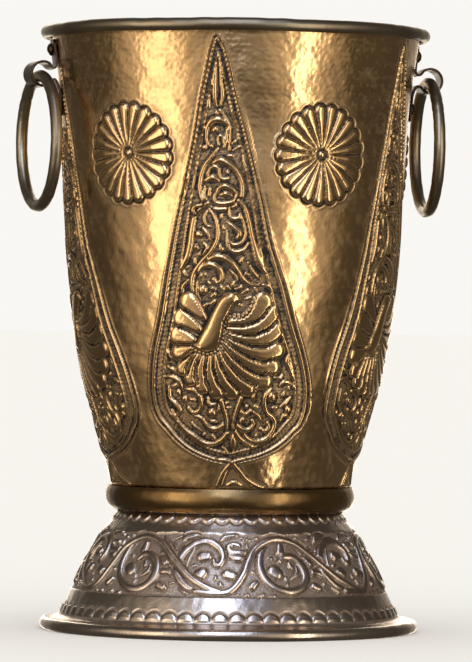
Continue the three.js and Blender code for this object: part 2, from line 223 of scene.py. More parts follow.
TRUNK_LEGS = [  # the two stems that run together under the tail
    [(-5.6, 121.5, 0.9), (-3.4, 116.5, 1.0), (-1.6, 111.5, 1.0), (-0.3, 106.5, 0.9), (0.0, 101.5, 0.8)],
    [(8.4, 121.5, 0.9), (6.6, 116.5, 1.0), (4.8, 111.5, 1.0), (3.4, 106.5, 0.9), (2.8, 101.5, 0.8)],
]
TRUNK_BUD = [[(2.8, 98.6, 0.4), (3.0, 95.0, 1.7), (3.1, 90.8, 0.4)]]
LOWER_LEFT = [
    [(0.8, 104.6, 0.7), (0.0, 99.6, 1.1), (-3.2, 95.7, 1.3), (-7.6, 94.0, 1.3), (-12.0, 94.9, 1.2),
     (-16.4, 97.8, 1.3), (-20.8, 100.7, 1.3), (-24.8, 104.8, 1.2), (-27.9, 110.4, 0.7)],
    [(0.2, 106.6, 0.7), (-2.8, 102.7, 1.1), (-6.6, 101.3, 1.4), (-10.0, 103.2, 1.1), (-12.6, 106.6, 0.9),
     (-15.6, 107.8, 0.6)],
    [(-20.6, 120.8, 0.6), (-17.0, 120.4, 1.4), (-13.9, 117.8, 1.3), (-12.8, 113.6, 1.1),
     (-14.0, 110.4, 1.0), (-17.2, 109.4, 1.0), (-19.2, 111.6, 0.9)],
    [(-29.4, 121.6, 0.6), (-28.8, 116.4, 1.1), (-25.6, 113.2, 1.3), (-23.6, 110.0, 1.1),
     (-25.4, 107.8, 0.7)],
    [(-31.2, 126.8, 0.6), (-27.4, 126.6, 1.2), (-24.2, 124.6, 1.1), (-22.6, 121.4, 0.6)],
    [(-31.0, 141.2, 0.6), (-29.0, 137.8, 1.2), (-25.8, 135.4, 1.2), (-22.8, 134.4, 0.6)],
    [(-7.6, 109.4, 2.0), (-7.3, 109.0, 2.0)],
    [(-3.0, 117.6, 0.6), (-3.4, 113.2, 1.0), (-4.6, 110.0, 0.7)],
    [(-9.4, 116.6, 0.6), (-9.0, 113.6, 1.0), (-6.4, 113.6, 0.8)],
    [(-21.2, 116.2, 1.5), (-21.0, 115.2, 1.3)],
    [(-24.4, 119.4, 1.2), (-24.0, 118.4, 1.0)],
    [(-17.6, 104.6, 0.5), (-15.4, 102.2, 0.9), (-12.6, 100.4, 0.5)],
    [(-30.2, 131.6, 0.5), (-27.4, 130.4, 1.0), (-25.8, 128.4, 0.5)],
]
LOWER_RIGHT = [
    [(3.0, 103.0, 0.7), (5.2, 98.2, 1.0), (8.6, 95.0, 1.1), (12.6, 93.0, 1.0), (17.0, 92.8, 0.6)],
    [(7.4, 100.0, 0.7), (10.2, 96.6, 1.2), (14.4, 95.3, 1.4), (18.8, 96.6, 1.4), (22.2, 100.0, 1.3),
     (23.7, 104.4, 1.2), (22.6, 107.4, 1.1), (19.8, 109.6, 1.1), (18.4, 113.6, 1.1), (18.8, 118.0, 1.1),
     (21.6, 121.4, 0.7)],
    [(3.8, 108.0, 0.7), (4.7, 103.6, 1.1), (7.8, 101.2, 1.4), (11.0, 101.6, 1.2), (12.9, 104.0, 0.9),
     (12.2, 106.0, 0.8)],
    [(6.2, 118.6, 0.6), (5.8, 113.8, 1.1), (6.6, 110.2, 1.1), (9.2, 108.8, 1.1), (11.4, 110.6, 1.0)],
    [(19.6, 105.2, 0.6), (20.6, 102.6, 1.0), (18.8, 100.6, 1.0), (16.4, 101.8, 0.8)],
    [(22.2, 117.4, 2.2), (22.2, 116.4, 1.8)],
    [(25.8, 122.8, 0.5), (28.6, 124.8, 1.1), (32.2, 123.6, 0.9), (33.8, 120.6, 0.5)],
    [(34.2, 141.4, 0.6), (31.2, 138.4, 1.1), (29.8, 134.8, 1.1), (31.4, 130.6, 1.0), (32.8, 126.0, 0.6)],
    [(33.8, 135.6, 0.6), (33.0, 131.4, 0.9), (31.8, 129.0, 0.6)],
    [(26.4, 112.4, 0.6), (29.0, 114.4, 1.2), (31.6, 117.4, 0.6)],
    [(30.4, 111.4, 1.7), (30.2, 110.6, 1.5)],
    [(9.4, 112.4, 0.9), (9.6, 112.8, 0.9)],
    [(13.4, 114.6, 0.5), (12.6, 118.4, 1.2), (14.6, 121.4, 0.6)],
    [(13.0, 109.8, 0.5), (15.8, 107.4, 1.0), (17.0, 104.6, 0.5)],
    [(26.6, 105.6, 0.5), (28.4, 108.4, 1.0), (31.4, 107.2, 0.5)],
    [(27.4, 128.4, 0.5), (26.0, 126.6, 1.0), (23.2, 126.8, 0.5)],
]
SMALL_BUDS = [
    [(-2.0, 92.6, 0.5), (0.2, 89.8, 0.7), (1.8, 87.6, 0.5)],
    [(9.4, 90.2, 0.5), (6.4, 90.4, 0.8), (4.6, 88.4, 0.5)],
    [(27.0, 143.0, 0.5), (29.6, 146.6, 1.0), (29.8, 151.0, 0.5)],
    [(-27.8, 151.8, 0.5), (-30.4, 148.4, 1.0), (-31.6, 144.6, 0.5)],
    [(23.6, 163.0, 0.5), (25.4, 159.4, 1.0), (27.2, 156.0, 0.5)],
    [(-25.6, 163.6, 0.5), (-27.4, 160.0, 1.0), (-28.6, 156.4, 0.5)],
]

# The foot's running vine. Across is in degrees round the foot and repeats every sixth of a turn.
VINE_TURN = 60
VINE_STEM = [
    [(-12.0, 23.0, 1.2), (-6.0, 22.4, 1.3), (-1.0, 22.8, 1.4), (2.2, 25.2, 1.4), (5.4, 31.0, 1.5),
     (8.0, 38.0, 1.5), (10.6, 43.0, 1.5), (15.0, 46.4, 1.5), (20.0, 48.0, 1.4), (25.0, 47.4, 1.4),
     (30.0, 45.0, 1.4), (35.0, 40.2, 1.4), (40.0, 35.0, 1.4), (46.0, 29.0, 1.4), (52.0, 25.0, 1.3),
     (57.0, 22.8, 1.2)],
]
VINE_LOW = [  # the scroll that rises from the stem's trough, its leaves and three buds
    [(-10.6, 22.8, 1.0), (-16.0, 25.4, 1.4), (-19.8, 30.4, 1.6), (-20.6, 36.4, 1.7), (-18.4, 42.4, 1.7),
     (-13.6, 46.3, 1.7), (-8.2, 46.6, 1.6), (-3.9, 43.4, 1.6), (-2.5, 39.2, 1.5), (-3.7, 35.9, 1.3),
     (-5.7, 36.2, 1.0), (-6.3, 38.0, 0.9)],
    [(-11.2, 39.8, 2.3), (-8.8, 40.0, 2.0)],
    [(-11.2, 31.2, 2.5), (-10.4, 32.0, 2.3)],
    [(-0.6, 31.6, 2.2), (1.6, 30.6, 2.0)],
    [(-14.6, 43.2, 0.5), (-16.2, 39.0, 0.8), (-17.0, 34.6, 0.5)],
]
VINE_LOW_LEAVES = [
    [(-20.2, 44.6, 0.7), (-19.2, 48.0, 1.4), (-15.4, 49.2, 1.4), (-12.2, 48.4, 0.8)],
    [(9.0, 42.0, 0.8), (4.4, 41.6, 1.2), (0.8, 42.0, 1.3), (-0.4, 44.2, 1.2), (1.6, 45.6, 1.0),
     (4.0, 45.0, 1.1)],
    [(-0.4, 40.6, 0.6), (3.0, 38.8, 1.4), (6.2, 39.2, 1.1), (8.2, 41.2, 0.6)],
    [(-33.4, 48.4, 0.8), (-29.6, 43.6, 1.1), (-25.4, 36.6, 1.2), (-21.4, 30.2, 0.8)],
    [(-25.2, 44.2, 2.0), (-23.6, 39.4, 1.6), (-21.6, 33.0, 0.7)],
    [(-29.6, 38.2, 2.0), (-28.4, 35.8, 1.6)],
    [(-25.6, 24.4, 0.6), (-28.8, 26.6, 1.3), (-29.4, 29.4, 0.7)],
    [(8.6, 25.6, 1.7), (10.2, 27.4, 1.3)],
    [(-4.4, 46.4, 0.5), (-1.8, 49.0, 1.0), (3.2, 49.8, 0.6)],
]
VINE_HIGH = [  # the scroll that hangs from the stem's crest
    [(16.4, 46.4, 1.0), (13.2, 41.8, 1.5), (12.2, 35.6, 1.6), (13.8, 29.6, 1.6), (17.4, 25.2, 1.6),
     (22.4, 23.2, 1.7), (27.4, 24.8, 1.8), (30.4, 29.6, 1.9), (30.0, 35.2, 1.9), (26.6, 39.2, 1.7),
     (22.8, 39.6, 1.4), (20.6, 37.4, 1.0)],
    [(17.8, 33.0, 2.7), (18.8, 31.8, 2.5)],
    [(22.0, 44.8, 1.6), (21.6, 41.8, 2.0)],
    [(24.6, 36.4, 1.1), (25.0, 34.6, 1.2)],
    [(24.4, 29.4, 0.6), (27.0, 31.6, 1.1), (27.2, 35.0, 0.6)],
]
VINE_HIGH_LEAVES = [
    [(30.4, 48.4, 0.8), (34.6, 43.6, 1.2), (39.6, 36.8, 1.3), (44.4, 31.0, 0.8)],
    [(31.8, 37.6, 2.0), (33.8, 36.6, 1.8)],
    [(30.6, 28.6, 0.9), (32.0, 31.4, 1.4), (35.6, 32.2, 1.5), (40.2, 29.8, 1.2), (46.0, 26.2, 0.6)],
    [(33.4, 25.6, 1.8), (35.2, 24.6, 1.5)],
    [(38.8, 41.6, 1.5), (40.2, 44.0, 1.2)],
    [(41.6, 24.4, 0.6), (44.0, 22.6, 1.0)],
    [(36.0, 47.6, 0.6), (38.2, 48.8, 0.9)],
]

# Small buds fill the ground between the figures: clear is the room one needs, and keep what it leaves.
FILL = {"clear": 1.5, "keep": 0.55, "most": 1.5, "pitch": 3.4, "stretch": 0.7}
GROUND = -0.4  # how deep the ground of the panels lies
TALL = 1.35  # how high the boldest figures stand above their ground
VINE_GROUND = -0.55  # the same for the band on the foot
# The vine is drawn against height above "foot", which the slope of the cone stretches by "slope".
VINE = {"low": 20.5, "high": 50.0, "radius": 71.0, "foot": 20, "slope": 1.14, "broad": 1.3}
SCALLOPS = {"count": 50, "z": 55.3, "drop": 1.9, "top": 59.4}
ARCHES = {"count": 62, "z": 12.9, "drop": 2.2}

BLOWS = ((0, 9.5, 0.055, 3), (3, 4.6, 0.022, 8))  # turn, size, depth and seed of the hammer marks
WAVES = ((0.15, 42, 12, 11), (0.042, 15, 18, 12), (0.02, 5.5, 26, 13))  # depth, length, count and seed
CRINKLE = (0.0065, 2.6, 30, 14)  # the finest, which is stronger near the lip
FEATHER = {"left": 1.6, "broad": 1.5, "rib": 0.5}  # how far feathers are widened, and the ribs' half-width
UNDER_STRAP = {"clear": 8.5, "full": 11.0, "low": 246, "high": 250}  # where the relief fades out

# The meshes of one plate of the beaker and one of the foot. Three steps of them make one of the inner face.
PLATE = {"columns": 201, "rows": 435}
FOOT_PLATE = {"sectors": 3, "columns": 420, "rows": 168, "start": -38.9}


# ---- Small tools ----

def linear(colour):
    """An sRGB hex colour as the linear one that shaders take."""
    parts = [int(colour[i:i + 2], 16) / 255 for i in (1, 3, 5)]
    return tuple(c / 12.92 if c <= 0.04045 else ((c + 0.055) / 1.055) ** 2.4 for c in parts) + (1.0,)


def smooth_line(points, step):
    """A smooth line through points, as points about a step apart. Any third number goes along."""
    known = np.array(points, float)
    padded = np.vstack([2 * known[0] - known[1], known, 2 * known[-1] - known[-2]])
    parts = []
    for before, start, end, after in zip(padded, padded[1:], padded[2:], padded[3:]):
        count = max(2, int(np.ceil(np.hypot(*(end - start)[:2]) / step)))
        t = np.linspace(0, 1, count, endpoint=False)[:, None]
        bend = 2 * before - 5 * start + 4 * end - after
        twist = 3 * start - before - 3 * end + after
        parts.append(start + 0.5 * ((end - before) * t + bend * t ** 2 + twist * t ** 3))
    return np.vstack(parts + [known[-1:]])


def even_line(line, count):
    """A line as count + 1 points at even distances along it."""
    run = np.concatenate([[0], np.cumsum(np.hypot(*np.diff(line, axis=0).T[:2]))])
    want = np.linspace(0, run[-1], count + 1)
    return np.column_stack([np.interp(want, run, column) for column in line.T])


def soft_step(value, low, high):
    t = np.clip((value - low) / (high - low), 0, 1)
    return t * t * (3 - 2 * t)


def blurred(field, reach):
    """A field averaged over a few cells each way, three times, which is close to a soft blur."""
    for axis in (0, 1):
        for _ in range(3):
            pad = [(0, 0), (0, 0)]
            pad[axis] = (reach + 1, reach)
            run = np.cumsum(np.pad(field, pad, mode="edge"), axis=axis)
            ahead = np.take(run, range(2 * reach + 1, run.shape[axis]), axis=axis)
            behind = np.take(run, range(0, run.shape[axis] - 2 * reach - 1), axis=axis)
            field = (ahead - behind) / (2 * reach + 1)
    return field


# ---- The relief, as heights above the plain wall in millimetres ----

class Relief:
    """A height over a grid of points on the wall, that strokes are raised from one after another."""

    def __init__(self, across, up, ground):
        self.across = across
        self.up = up
        self.height = np.zeros(across.shape)
        self.ground = ground
        self.free = np.full(across.shape, 99.0)  # distance to the nearest figure

    def edge_of(self, strokes, reach):
        """Distance outside a group of strokes (negative inside), their half-width, and the run along them."""
        edge = np.full(self.across.shape, 99.0)
        half = np.ones(self.across.shape)
        along = np.zeros(self.across.shape)
        for stroke in strokes:
            line = smooth_line(stroke, 0.4)
            wide = reach + line[:, 2].max()
            near = (self.across > line[:, 0].min() - wide) & (self.across < line[:, 0].max() + wide)
            near &= (self.up > line[:, 1].min() - wide) & (self.up < line[:, 1].max() + wide)
            if not near.any():
                continue
            side, rise = self.across[near][:, None] - line[:, 0], self.up[near][:, None] - line[:, 1]
            off = np.hypot(side, rise) - line[:, 2]
            first = off.argmin(1)
            found = off[np.arange(len(first)), first]
            closer = found < edge[near]
            for field, values in ((edge, found), (half, line[first, 2]), (along, first * 0.4)):
                field[near] = np.where(closer, values, field[near])
        return edge, half, along

    def raise_strokes(self, strokes, tall=TALL, cut=0.35, moat=0.7, tick=0.0, vein=0.0, flat=2.4):
        """A group of strokes beaten up over what is there, with a chased line round it."""
        edge, half, along = self.edge_of(strokes, 3.0)
        far = np.clip(1 + edge / half, 0, 1)
        top = np.minimum(tall, 0.35 + 0.62 * half)
        dome = top * np.sqrt(1 - far ** flat)
        dome -= vein * np.exp(-(far / 0.22) ** 2) * (half > 1.3)
        nicks = 0.5 + 0.5 * np.cos(2 * np.pi * along / 1.7)
        dome -= tick * nicks * soft_step(far, 0.35, 0.8) * (half > 1.2)
        inside = edge < 0
        round_it = (edge >= 0) & (edge < moat)
        low = self.ground - cut * (1 - edge / moat)
        self.height = np.where(round_it, np.minimum(self.height, low), self.height)
        self.height = np.where(inside, self.ground + dome, self.height)
        self.free = np.minimum(self.free, edge)

    def raise_beads(self, points, pitch, size, tall):
        line = smooth_line([(*p, size) for p in points], 0.2)
        count = int(np.hypot(*np.diff(line[:, :2], axis=0).T).sum() / pitch)
        for x, y, r in even_line(line, count):
            self.raise_strokes([[(x - 0.01, y, r), (x + 0.01, y, r)]], tall, 0.1, 0.25)

    def fill_ground(self, room, seed):
        """Small round buds where the ground would be empty, as the smith fills it."""
        rng = np.random.default_rng(seed)
        low, high = self.up[room].min(), self.up[room].max()
        left, right = self.across[room].min(), self.across[room].max()
        for y in np.arange(low, high, FILL["pitch"]):
            for x in np.arange(left, right, FILL["pitch"]):
                px, py = x + rng.uniform(-1, 1), y + rng.uniform(-1, 1)
                apart = (self.across - px) ** 2 + (self.up - py) ** 2
                near = np.unravel_index(np.argmin(apart), self.up.shape)
                space = self.free[near]
                if not room[near] or space < FILL["clear"]:
                    continue
                size = min(space - FILL["keep"], FILL["most"]) * rng.uniform(0.8, 1.0)
                lean = rng.uniform(0, 2 * np.pi)
                dx = FILL["stretch"] * size * math.cos(lean)
                dy = FILL["stretch"] * size * math.sin(lean)
                bud = [(px - dx, py - dy, size * 0.8), (px + dx, py + dy, size * 0.55)]
                self.raise_strokes([bud], 0.85, 0.15, 0.4)


def wave_noise(azimuth, z, wavelength, count, seed, radius=80.0):
    """Smooth unevenness that closes on itself round the vessel, about one in size."""
    rng = np.random.default_rng(seed)
    total = np.zeros(np.broadcast(azimuth, z).shape)
    for _ in range(count):
        turn = rng.uniform(0, 2 * np.pi)
        length = wavelength * rng.uniform(0.75, 1.5)
        around = round(2 * np.pi * radius * math.cos(turn) / length)
        rise = 2 * np.pi * math.sin(turn) / length
        total += np.cos(around * np.radians(azimuth) + rise * z + rng.uniform(0, 2 * np.pi))
    return total * math.sqrt(2 / count)


def hammer_marks(azimuth, z, size, depth, seed, radius=80.0):
    """Shallow dishes that meet in faint ridges, one for each blow of a planishing hammer."""
    rng = np.random.default_rng(seed)
    around = round(2 * np.pi * radius / size)
    levels = 60
    jitter = rng.uniform(-0.42, 0.42, (levels, around, 2))
    column = (azimuth % 360) / 360 * around
    row = z / size + 4
    nearest = np.full(column.shape, 9.0)
    for down in (-1, 0, 1):
        for side in (-1, 0, 1):
            cell_row = np.clip(np.floor(row) + down, 0, levels - 1).astype(int)
            cell_column = np.floor(column) + side
            shift = jitter[cell_row, cell_column.astype(int) % around]
            apart_x = column - cell_column - 0.5 - shift[..., 0]
            apart_y = row - cell_row - 0.5 - shift[..., 1]
            nearest = np.minimum(nearest, apart_x ** 2 + apart_y ** 2)
    return depth * (np.minimum(nearest, 0.6) / 0.4 - 0.5)


def punched(across, up, pitch, depth, seed):
    """Dots of a matting punch, closely set."""
    rng = np.random.default_rng(seed)
    jitter = rng.uniform(-0.25, 0.25, (256, 256, 2))
    nearest = np.full(across.shape, 9.0)
    column, row = across / pitch, up / (pitch * 0.87)
    for down in (-1, 0, 1):
        for side in (-1, 0, 1):
            cell_row = np.floor(row) + down
            cell_column = np.floor(column) + side
            shift = jitter[cell_row.astype(int) % 256, cell_column.astype(int) % 256]
            stagger = 0.5 * (cell_row % 2) - 0.25
            apart_x = column - cell_column - 0.5 - shift[..., 0] - stagger
            apart_y = row - cell_row - 0.5 - shift[..., 1]
            nearest = np.minimum(nearest, np.hypot(apart_x, apart_y))
    return -depth * np.clip(1 - (nearest / 0.42) ** 2, 0, 1)


def border_distance(relief):
    """Distance inside the panel's outline, negative outside, and how far along the outline."""
    left, right = np.array(PANEL_LEFT), np.array(PANEL_RIGHT)
    outline = [[(*p, 0.0) for p in side] for side in (PANEL_LEFT, PANEL_RIGHT)]
    edge, _, along = relief.edge_of(outline, 12.0)
    left_side = np.interp(relief.up, left[::-1, 1], left[::-1, 0])
    right_side = np.interp(relief.up, right[::-1, 1], right[::-1, 0])
    inside = (relief.up > left[-1, 1]) & (relief.up < left[0, 1])
    inside &= (relief.across > left_side) & (relief.across < right_side)
    return np.where(inside, np.abs(edge), -np.abs(edge)), along


def ridge(distance, at, half, tall):
    return tall * np.sqrt(np.clip(1 - ((distance - at) / half) ** 2, 0, 1))


def panel_relief(across, up, number):
    """One pointed panel with its peacock, scrolls and ridged border."""
    uneven = 0.0 if number == 0 else 0.5
    warped = across + uneven * np.sin(up / 17 + 1.7 * number) * np.cos(across / 11 + number)
    raised = up + uneven * np.cos(across / 13 + 2.1 * number) * np.sin(up / 19 + number)
    relief = Relief(warped, raised, GROUND)
    inward, along = border_distance(relief)
    scale = (1 - 0.45 * soft_step(raised, 150, 240)) * (1 - 0.36 * (1 - soft_step(raised, 84, 112)))
    inner = inward / scale
    field = soft_step(inner, 5.8, 6.5)
    relief.height = relief.ground * field
    room = inner > 7.2
    relief.free = np.maximum(inward - 6.2 * scale, -1)
    for group in (LOWER_LEFT, LOWER_RIGHT, TIP_LEAVES, TIP_SCROLL, MEDALLION, BREAST_SCROLLS, BREAST_CURLS):
        relief.raise_strokes(group, tick=0.08, vein=0.1)
    for stroke in SIDE_LEAVES:
        relief.raise_strokes([stroke], tick=0.15, vein=0.12)
    for stroke in TIP_BUDS + SMALL_BUDS + CREST:
        relief.raise_strokes([stroke], 0.9, 0.2, 0.45)
    for leg in TRUNK_LEGS:
        relief.raise_strokes([leg], 1.3, tick=0.1)
    relief.raise_strokes(TRUNK_BUD, 1.0)
    for feather in FEATHERS:
        broad = [(x, y, r * FEATHER["left" if x < -12 and y > 136 else "broad"]) for x, y, r in feather]
        relief.raise_strokes([broad], 1.5, 0.1, 0.35, tick=0.2, vein=0.05, flat=3.4)
    lines = [even_line(np.array(feather), 9) for feather in FEATHERS]
    for one, other in zip(lines[:-1], lines[1:]):
        rib = [(0.5 * (a[0] + b[0]), 0.5 * (a[1] + b[1]), FEATHER["rib"]) for a, b in zip(one, other)]
        relief.raise_strokes([rib], 1.7, 0.0, 0.3, tick=0.5)
    body = [(x, y, r * 1.22) for x, y, r in BODY[0]]
    relief.raise_strokes([body], 2.2, 0.3, 0.5, tick=0.1, flat=3.0)
    relief.raise_beads(COLLAR_OF_TAIL, 1.9, 0.85, 1.0)
    relief.raise_beads(TAIL_ROW, 1.9, 0.75, 0.9)
    relief.fill_ground(room, 40 + number)
    figure = relief.free < 0
    dots = punched(warped, raised, 1.45, 0.22, 5 + number)
    height = np.where((field > 0.5) & ~figure, relief.height + dots, relief.height)
    height = np.where(inner > 6.2, height, 0.0)
    rope = np.cos(2 * np.pi * (along / 2.3 + inner * 0.16))
    border = ridge(inner, -2.8, 0.6, 0.3) - ridge(inner, -1.5, 0.75, 0.4) + ridge(inner, 0, 1.0, 0.85)
    border += ridge(inner, 5.6, 0.65, 0.5)
    channel = soft_step(inner, 0.7, 1.1) * (1 - soft_step(inner, 4.8, 5.2))
    stipple = punched(along, inner * scale, 1.3, 0.2, 90 + number) + 0.05 * rope
    border += channel * (-0.34 + stipple)
    height = height + border
    below = Relief(warped, raised, 0.0)
    below.height = height
    below.raise_strokes(CROSSING, 0.85, 0.3, 0.7)
    near = np.clip(inward + 3.2, 0, None) > 0
    return below.height, np.where(near | (below.free < 1.5), 1.0, 0.0)


def rosette_relief(across, up):
    """Gadroons beaten out round a small boss, and the chased line that sets them off."""
    reach = np.hypot(across, up)
    turn = 2 * np.pi / ROSETTE["petals"]
    angle = (np.arctan2(up, across) + 0.12 + turn / 2) % turn - turn / 2
    along, side = reach * np.cos(angle), reach * np.sin(angle)
    at = np.clip(along, 3.2, ROSETTE["reach"] - 2.9)
    half = 0.146 * at
    far = np.hypot(along - at, side) / half
    outside = (far - 1) * half
    petals = np.minimum(1.6, 0.3 + 0.62 * half) * np.sqrt(np.clip(1 - far ** 2.8, 0, 1))
    moat = -0.6 * np.exp(-((outside - 0.35) / 0.42) ** 2) * (outside > 0)
    lip = 0.22 * np.exp(-((outside - 1.7) / 0.6) ** 2) * (reach > ROSETTE["reach"] - 3)
    boss = ridge(reach, 0, 1.9, 1.1) - 0.35 * np.exp(-((reach - 2.4) / 0.4) ** 2)
    height = np.where(far < 1, petals, moat + lip)
    height = np.where(reach < 2.8, boss, height)
    return height, (reach < ROSETTE["reach"] + 1.6).astype(float)


def plain_wall(azimuth, z):
    """The unevenness of a wall that was raised and planished by hand."""
    height = np.zeros(np.broadcast(azimuth, z).shape)
    for turn, size, depth, seed in BLOWS:
        height += hammer_marks(azimuth + turn, z, size, depth, seed)
    for depth, wavelength, count, seed in WAVES:
        height += depth * wave_noise(azimuth, z, wavelength, count, seed)
    depth, wavelength, count, seed = CRINKLE
    crinkle = depth * wave_noise(azimuth, z, wavelength, count, seed)
    return height + crinkle * (1 + 1.6 * soft_step(z, 190, 270))


def seam_at(z):
    """Where one plate of the beaker ends and the next begins, in degrees from its panel's middle."""
    return SEAM["low"] + (SEAM["high"] - SEAM["low"]) * soft_step(z, SEAM["from"], SEAM["to"])


def beaker_heights(azimuth, z, radius, number):
    """The height over one plate of the beaker, and where it is worked rather than plain."""
    middle = FRONT + PANEL_TURN + PITCH * number
    across = radius * np.radians(azimuth - middle)
    height, worked = panel_relief(across, z, number)
    rose = radius * np.radians(azimuth - middle - ROSETTE["angle"] - ROSETTE_SHIFT[number])
    flower, flower_worked = rosette_relief(rose, z - ROSETTE["z"])
    height = height + flower
    worked = np.maximum(worked, flower_worked)
    fade = np.ones(z.shape)
    for hanger in HANGERS:
        gap = np.abs((azimuth - hanger + 180) % 360 - 180) * np.radians(1) * radius
        beside = soft_step(gap, UNDER_STRAP["clear"], UNDER_STRAP["full"])
        beneath = 1 - soft_step(z, UNDER_STRAP["low"], UNDER_STRAP["high"])
        fade = np.minimum(fade, np.maximum(beside, beneath))
    fade = fade * soft_step(z, 71.6, 73.5) * (1 - soft_step(z, 290.5, 293))
    quiet = 1 - 0.65 * worked
    return height * fade + plain_wall(azimuth, z) * quiet * soft_step(z, 62, 70), worked * fade


def foot_heights(azimuth, z):
    """The height over the foot: scallops, a band with a running vine, a plain band and a row of arches."""
    around = (azimuth - FRONT + 180) % 360 - 180
    local = (around + 30) % VINE_TURN - 30  # repeats six times
    flat_up = VINE["slope"] * (z - VINE["foot"])
    edge_top = VINE["high"] + 0.5 * np.sin(np.radians(around * 23)) + 0.35 * np.sin(np.radians(around * 41))
    above_low = soft_step(z, VINE["low"] - 0.5, VINE["low"] + 0.3)
    band = above_low * (1 - soft_step(z, edge_top - 0.3, edge_top + 0.5))
    relief = Relief(np.radians(local) * VINE["radius"], flat_up, VINE_GROUND)
    relief.height = VINE_GROUND * band
    for group in (VINE_LOW_LEAVES, VINE_HIGH_LEAVES, VINE_LOW, VINE_HIGH, VINE_STEM):
        placed = []
        for stroke in group:
            for shift in (-VINE_TURN, 0, VINE_TURN):
                placed.append([
                    (math.radians(x + shift) * VINE["radius"],
                     VINE["slope"] * (y - VINE["foot"]), VINE["broad"] * r)
                    for x, y, r in stroke
                ])
        leaf = group in (VINE_LOW_LEAVES, VINE_HIGH_LEAVES)
        relief.raise_strokes(placed, 1.5, 0.3, 0.7, tick=0.16 if leaf else 0.0, vein=0.12 if leaf else 0.0)
    relief.fill_ground((band > 0.9) & (np.abs(local) < 27.5), 79)
    dots = punched(np.radians(around) * VINE["radius"], flat_up, 1.35, 0.22, 77)
    height = np.where((relief.free > 0) & (band > 0.5), relief.height + dots, relief.height)
    scallop_turn = 360 / SCALLOPS["count"]
    t = ((around % scallop_turn) / scallop_turn - 0.5) * 2
    below = z - (SCALLOPS["z"] + SCALLOPS["drop"] * t ** 2)
    height = height + 0.55 * soft_step(below, 0, 0.7) - 0.35 * np.exp(-((below + 0.45) / 0.4) ** 2)
    height -= 0.3 * np.exp(-((np.abs(t) - 1) / 0.12) ** 2) * (below > 0.5) * (z < SCALLOPS["top"])
    arch_turn = 360 / ARCHES["count"]
    t = ((around % arch_turn) / arch_turn - 0.5) * 2
    above = (ARCHES["z"] - ARCHES["drop"] * t ** 2) - z
    dome = np.sqrt(np.clip(1 - t ** 2, 0, 1)) * soft_step(above, 0, 1.1) * soft_step(z, 7.6, 9.0)
    arches = z < ARCHES["z"] + 1.2
    height = height + np.where(arches, 0.95 * dome - 0.4 * np.exp(-((above + 0.4) / 0.4) ** 2), 0)
    worked = np.maximum(band, ((z > 54) | arches) * 0.8)
    height += 0.05 * wave_noise(azimuth, z, 14, 16, 31, 72) + 0.02 * wave_noise(azimuth, z, 5, 20, 32, 72)
    height += hammer_marks(azimuth, z, 6.0, 0.03, 33, 72) * (1 - 0.7 * worked)
    return height, worked


# ---- Sheet metal as closed plates ----

def wall_rows(line, count):
    """Points along a section and the directions that face out of it, to the right of its run."""
    points = even_line(line, count)
    run = np.gradient(points, axis=0)
    run /= np.hypot(*run.T)[:, None]
    return points, np.column_stack([run[:, 1], -run[:, 0]])


def triangles_between(fine, coarse, flip):
    """Faces that join a border of fine points to a border with a third as many."""
    faces = []
    for i in range(len(coarse) - 1):
        a, b, c, d = fine[3 * i:3 * i + 4]
        low, high = coarse[i], coarse[i + 1]
        for face in ([a, b, low], [b, c, high, low], [c, d, high]):
            faces.append(face[::-1] if flip else face)
    return faces


def plate(name, points, facing, azimuths, height, marks, finish):
    """A closed curved plate: its outer face is carved by height, and its inner face follows more softly."""
    rows, columns = height.shape
    turn = np.radians(azimuths)

    def placed(offset, step):
        out = points[::step, None, :] + facing[::step, None, :] * offset[..., None]
        angle = turn[::step, ::step]
        radius, rise = out[..., 0], out[..., 1] + 0 * angle
        return np.stack([radius * np.cos(angle), radius * np.sin(angle), rise], -1)

    inner_height = 0.8 * blurred(height, 1)[::3, ::3] - SHEET
    inner_height = np.minimum(inner_height, height[::3, ::3] - 0.7 * SHEET)
    vertices = np.vstack([placed(height, 1).reshape(-1, 3), placed(inner_height, 3).reshape(-1, 3)]) * MM
    outer = np.arange(rows * columns).reshape(rows, columns)
    inner = rows * columns + np.arange(inner_height.size).reshape(inner_height.shape)
    quads = np.stack([outer[:-1, :-1], outer[:-1, 1:], outer[1:, 1:], outer[1:, :-1]], -1).reshape(-1, 4)
    back = np.stack([inner[:-1, :-1], inner[1:, :-1], inner[1:, 1:], inner[:-1, 1:]], -1).reshape(-1, 4)
    faces = quads.tolist() + back.tolist()
    faces += triangles_between(outer[0].tolist(), inner[0].tolist(), True)
    faces += triangles_between(outer[-1].tolist(), inner[-1].tolist(), False)
    faces += triangles_between(outer[:, 0].tolist(), inner[:, 0].tolist(), False)
    faces += triangles_between(outer[:, -1].tolist(), inner[:, -1].tolist(), True)
    mesh = bpy.data.meshes.new(name)
    mesh.from_pydata(vertices.tolist(), [], faces)
    fill = np.zeros(inner_height.size)
    for mark, values in marks.items():
        layer = mesh.attributes.new(mark, "FLOAT", "POINT")
        layer.data.foreach_set("value", np.concatenate([values.ravel(), fill]).astype(np.float32))
    piece = bpy.data.objects.new(name, mesh)
    bpy.context.collection.objects.link(piece)
    finished(piece, "vessel", finish, 76)
    return piece


def recess_marks(height, worked, share=1.0):
    """Where grime gathers in the hollows, from 0 to share."""
    fine = blurred(height, 2) - height
    broad = blurred(height, 6) - height
    low = np.clip(0.15 - height, 0, 1) * worked
    hollow = np.clip(fine * 3.0, 0, 1) * 0.65 + np.clip(broad * 1.3, 0, 1) * 0.6 + low * 0.3
    return {"hollow": share * np.clip(hollow, 0, 1)}


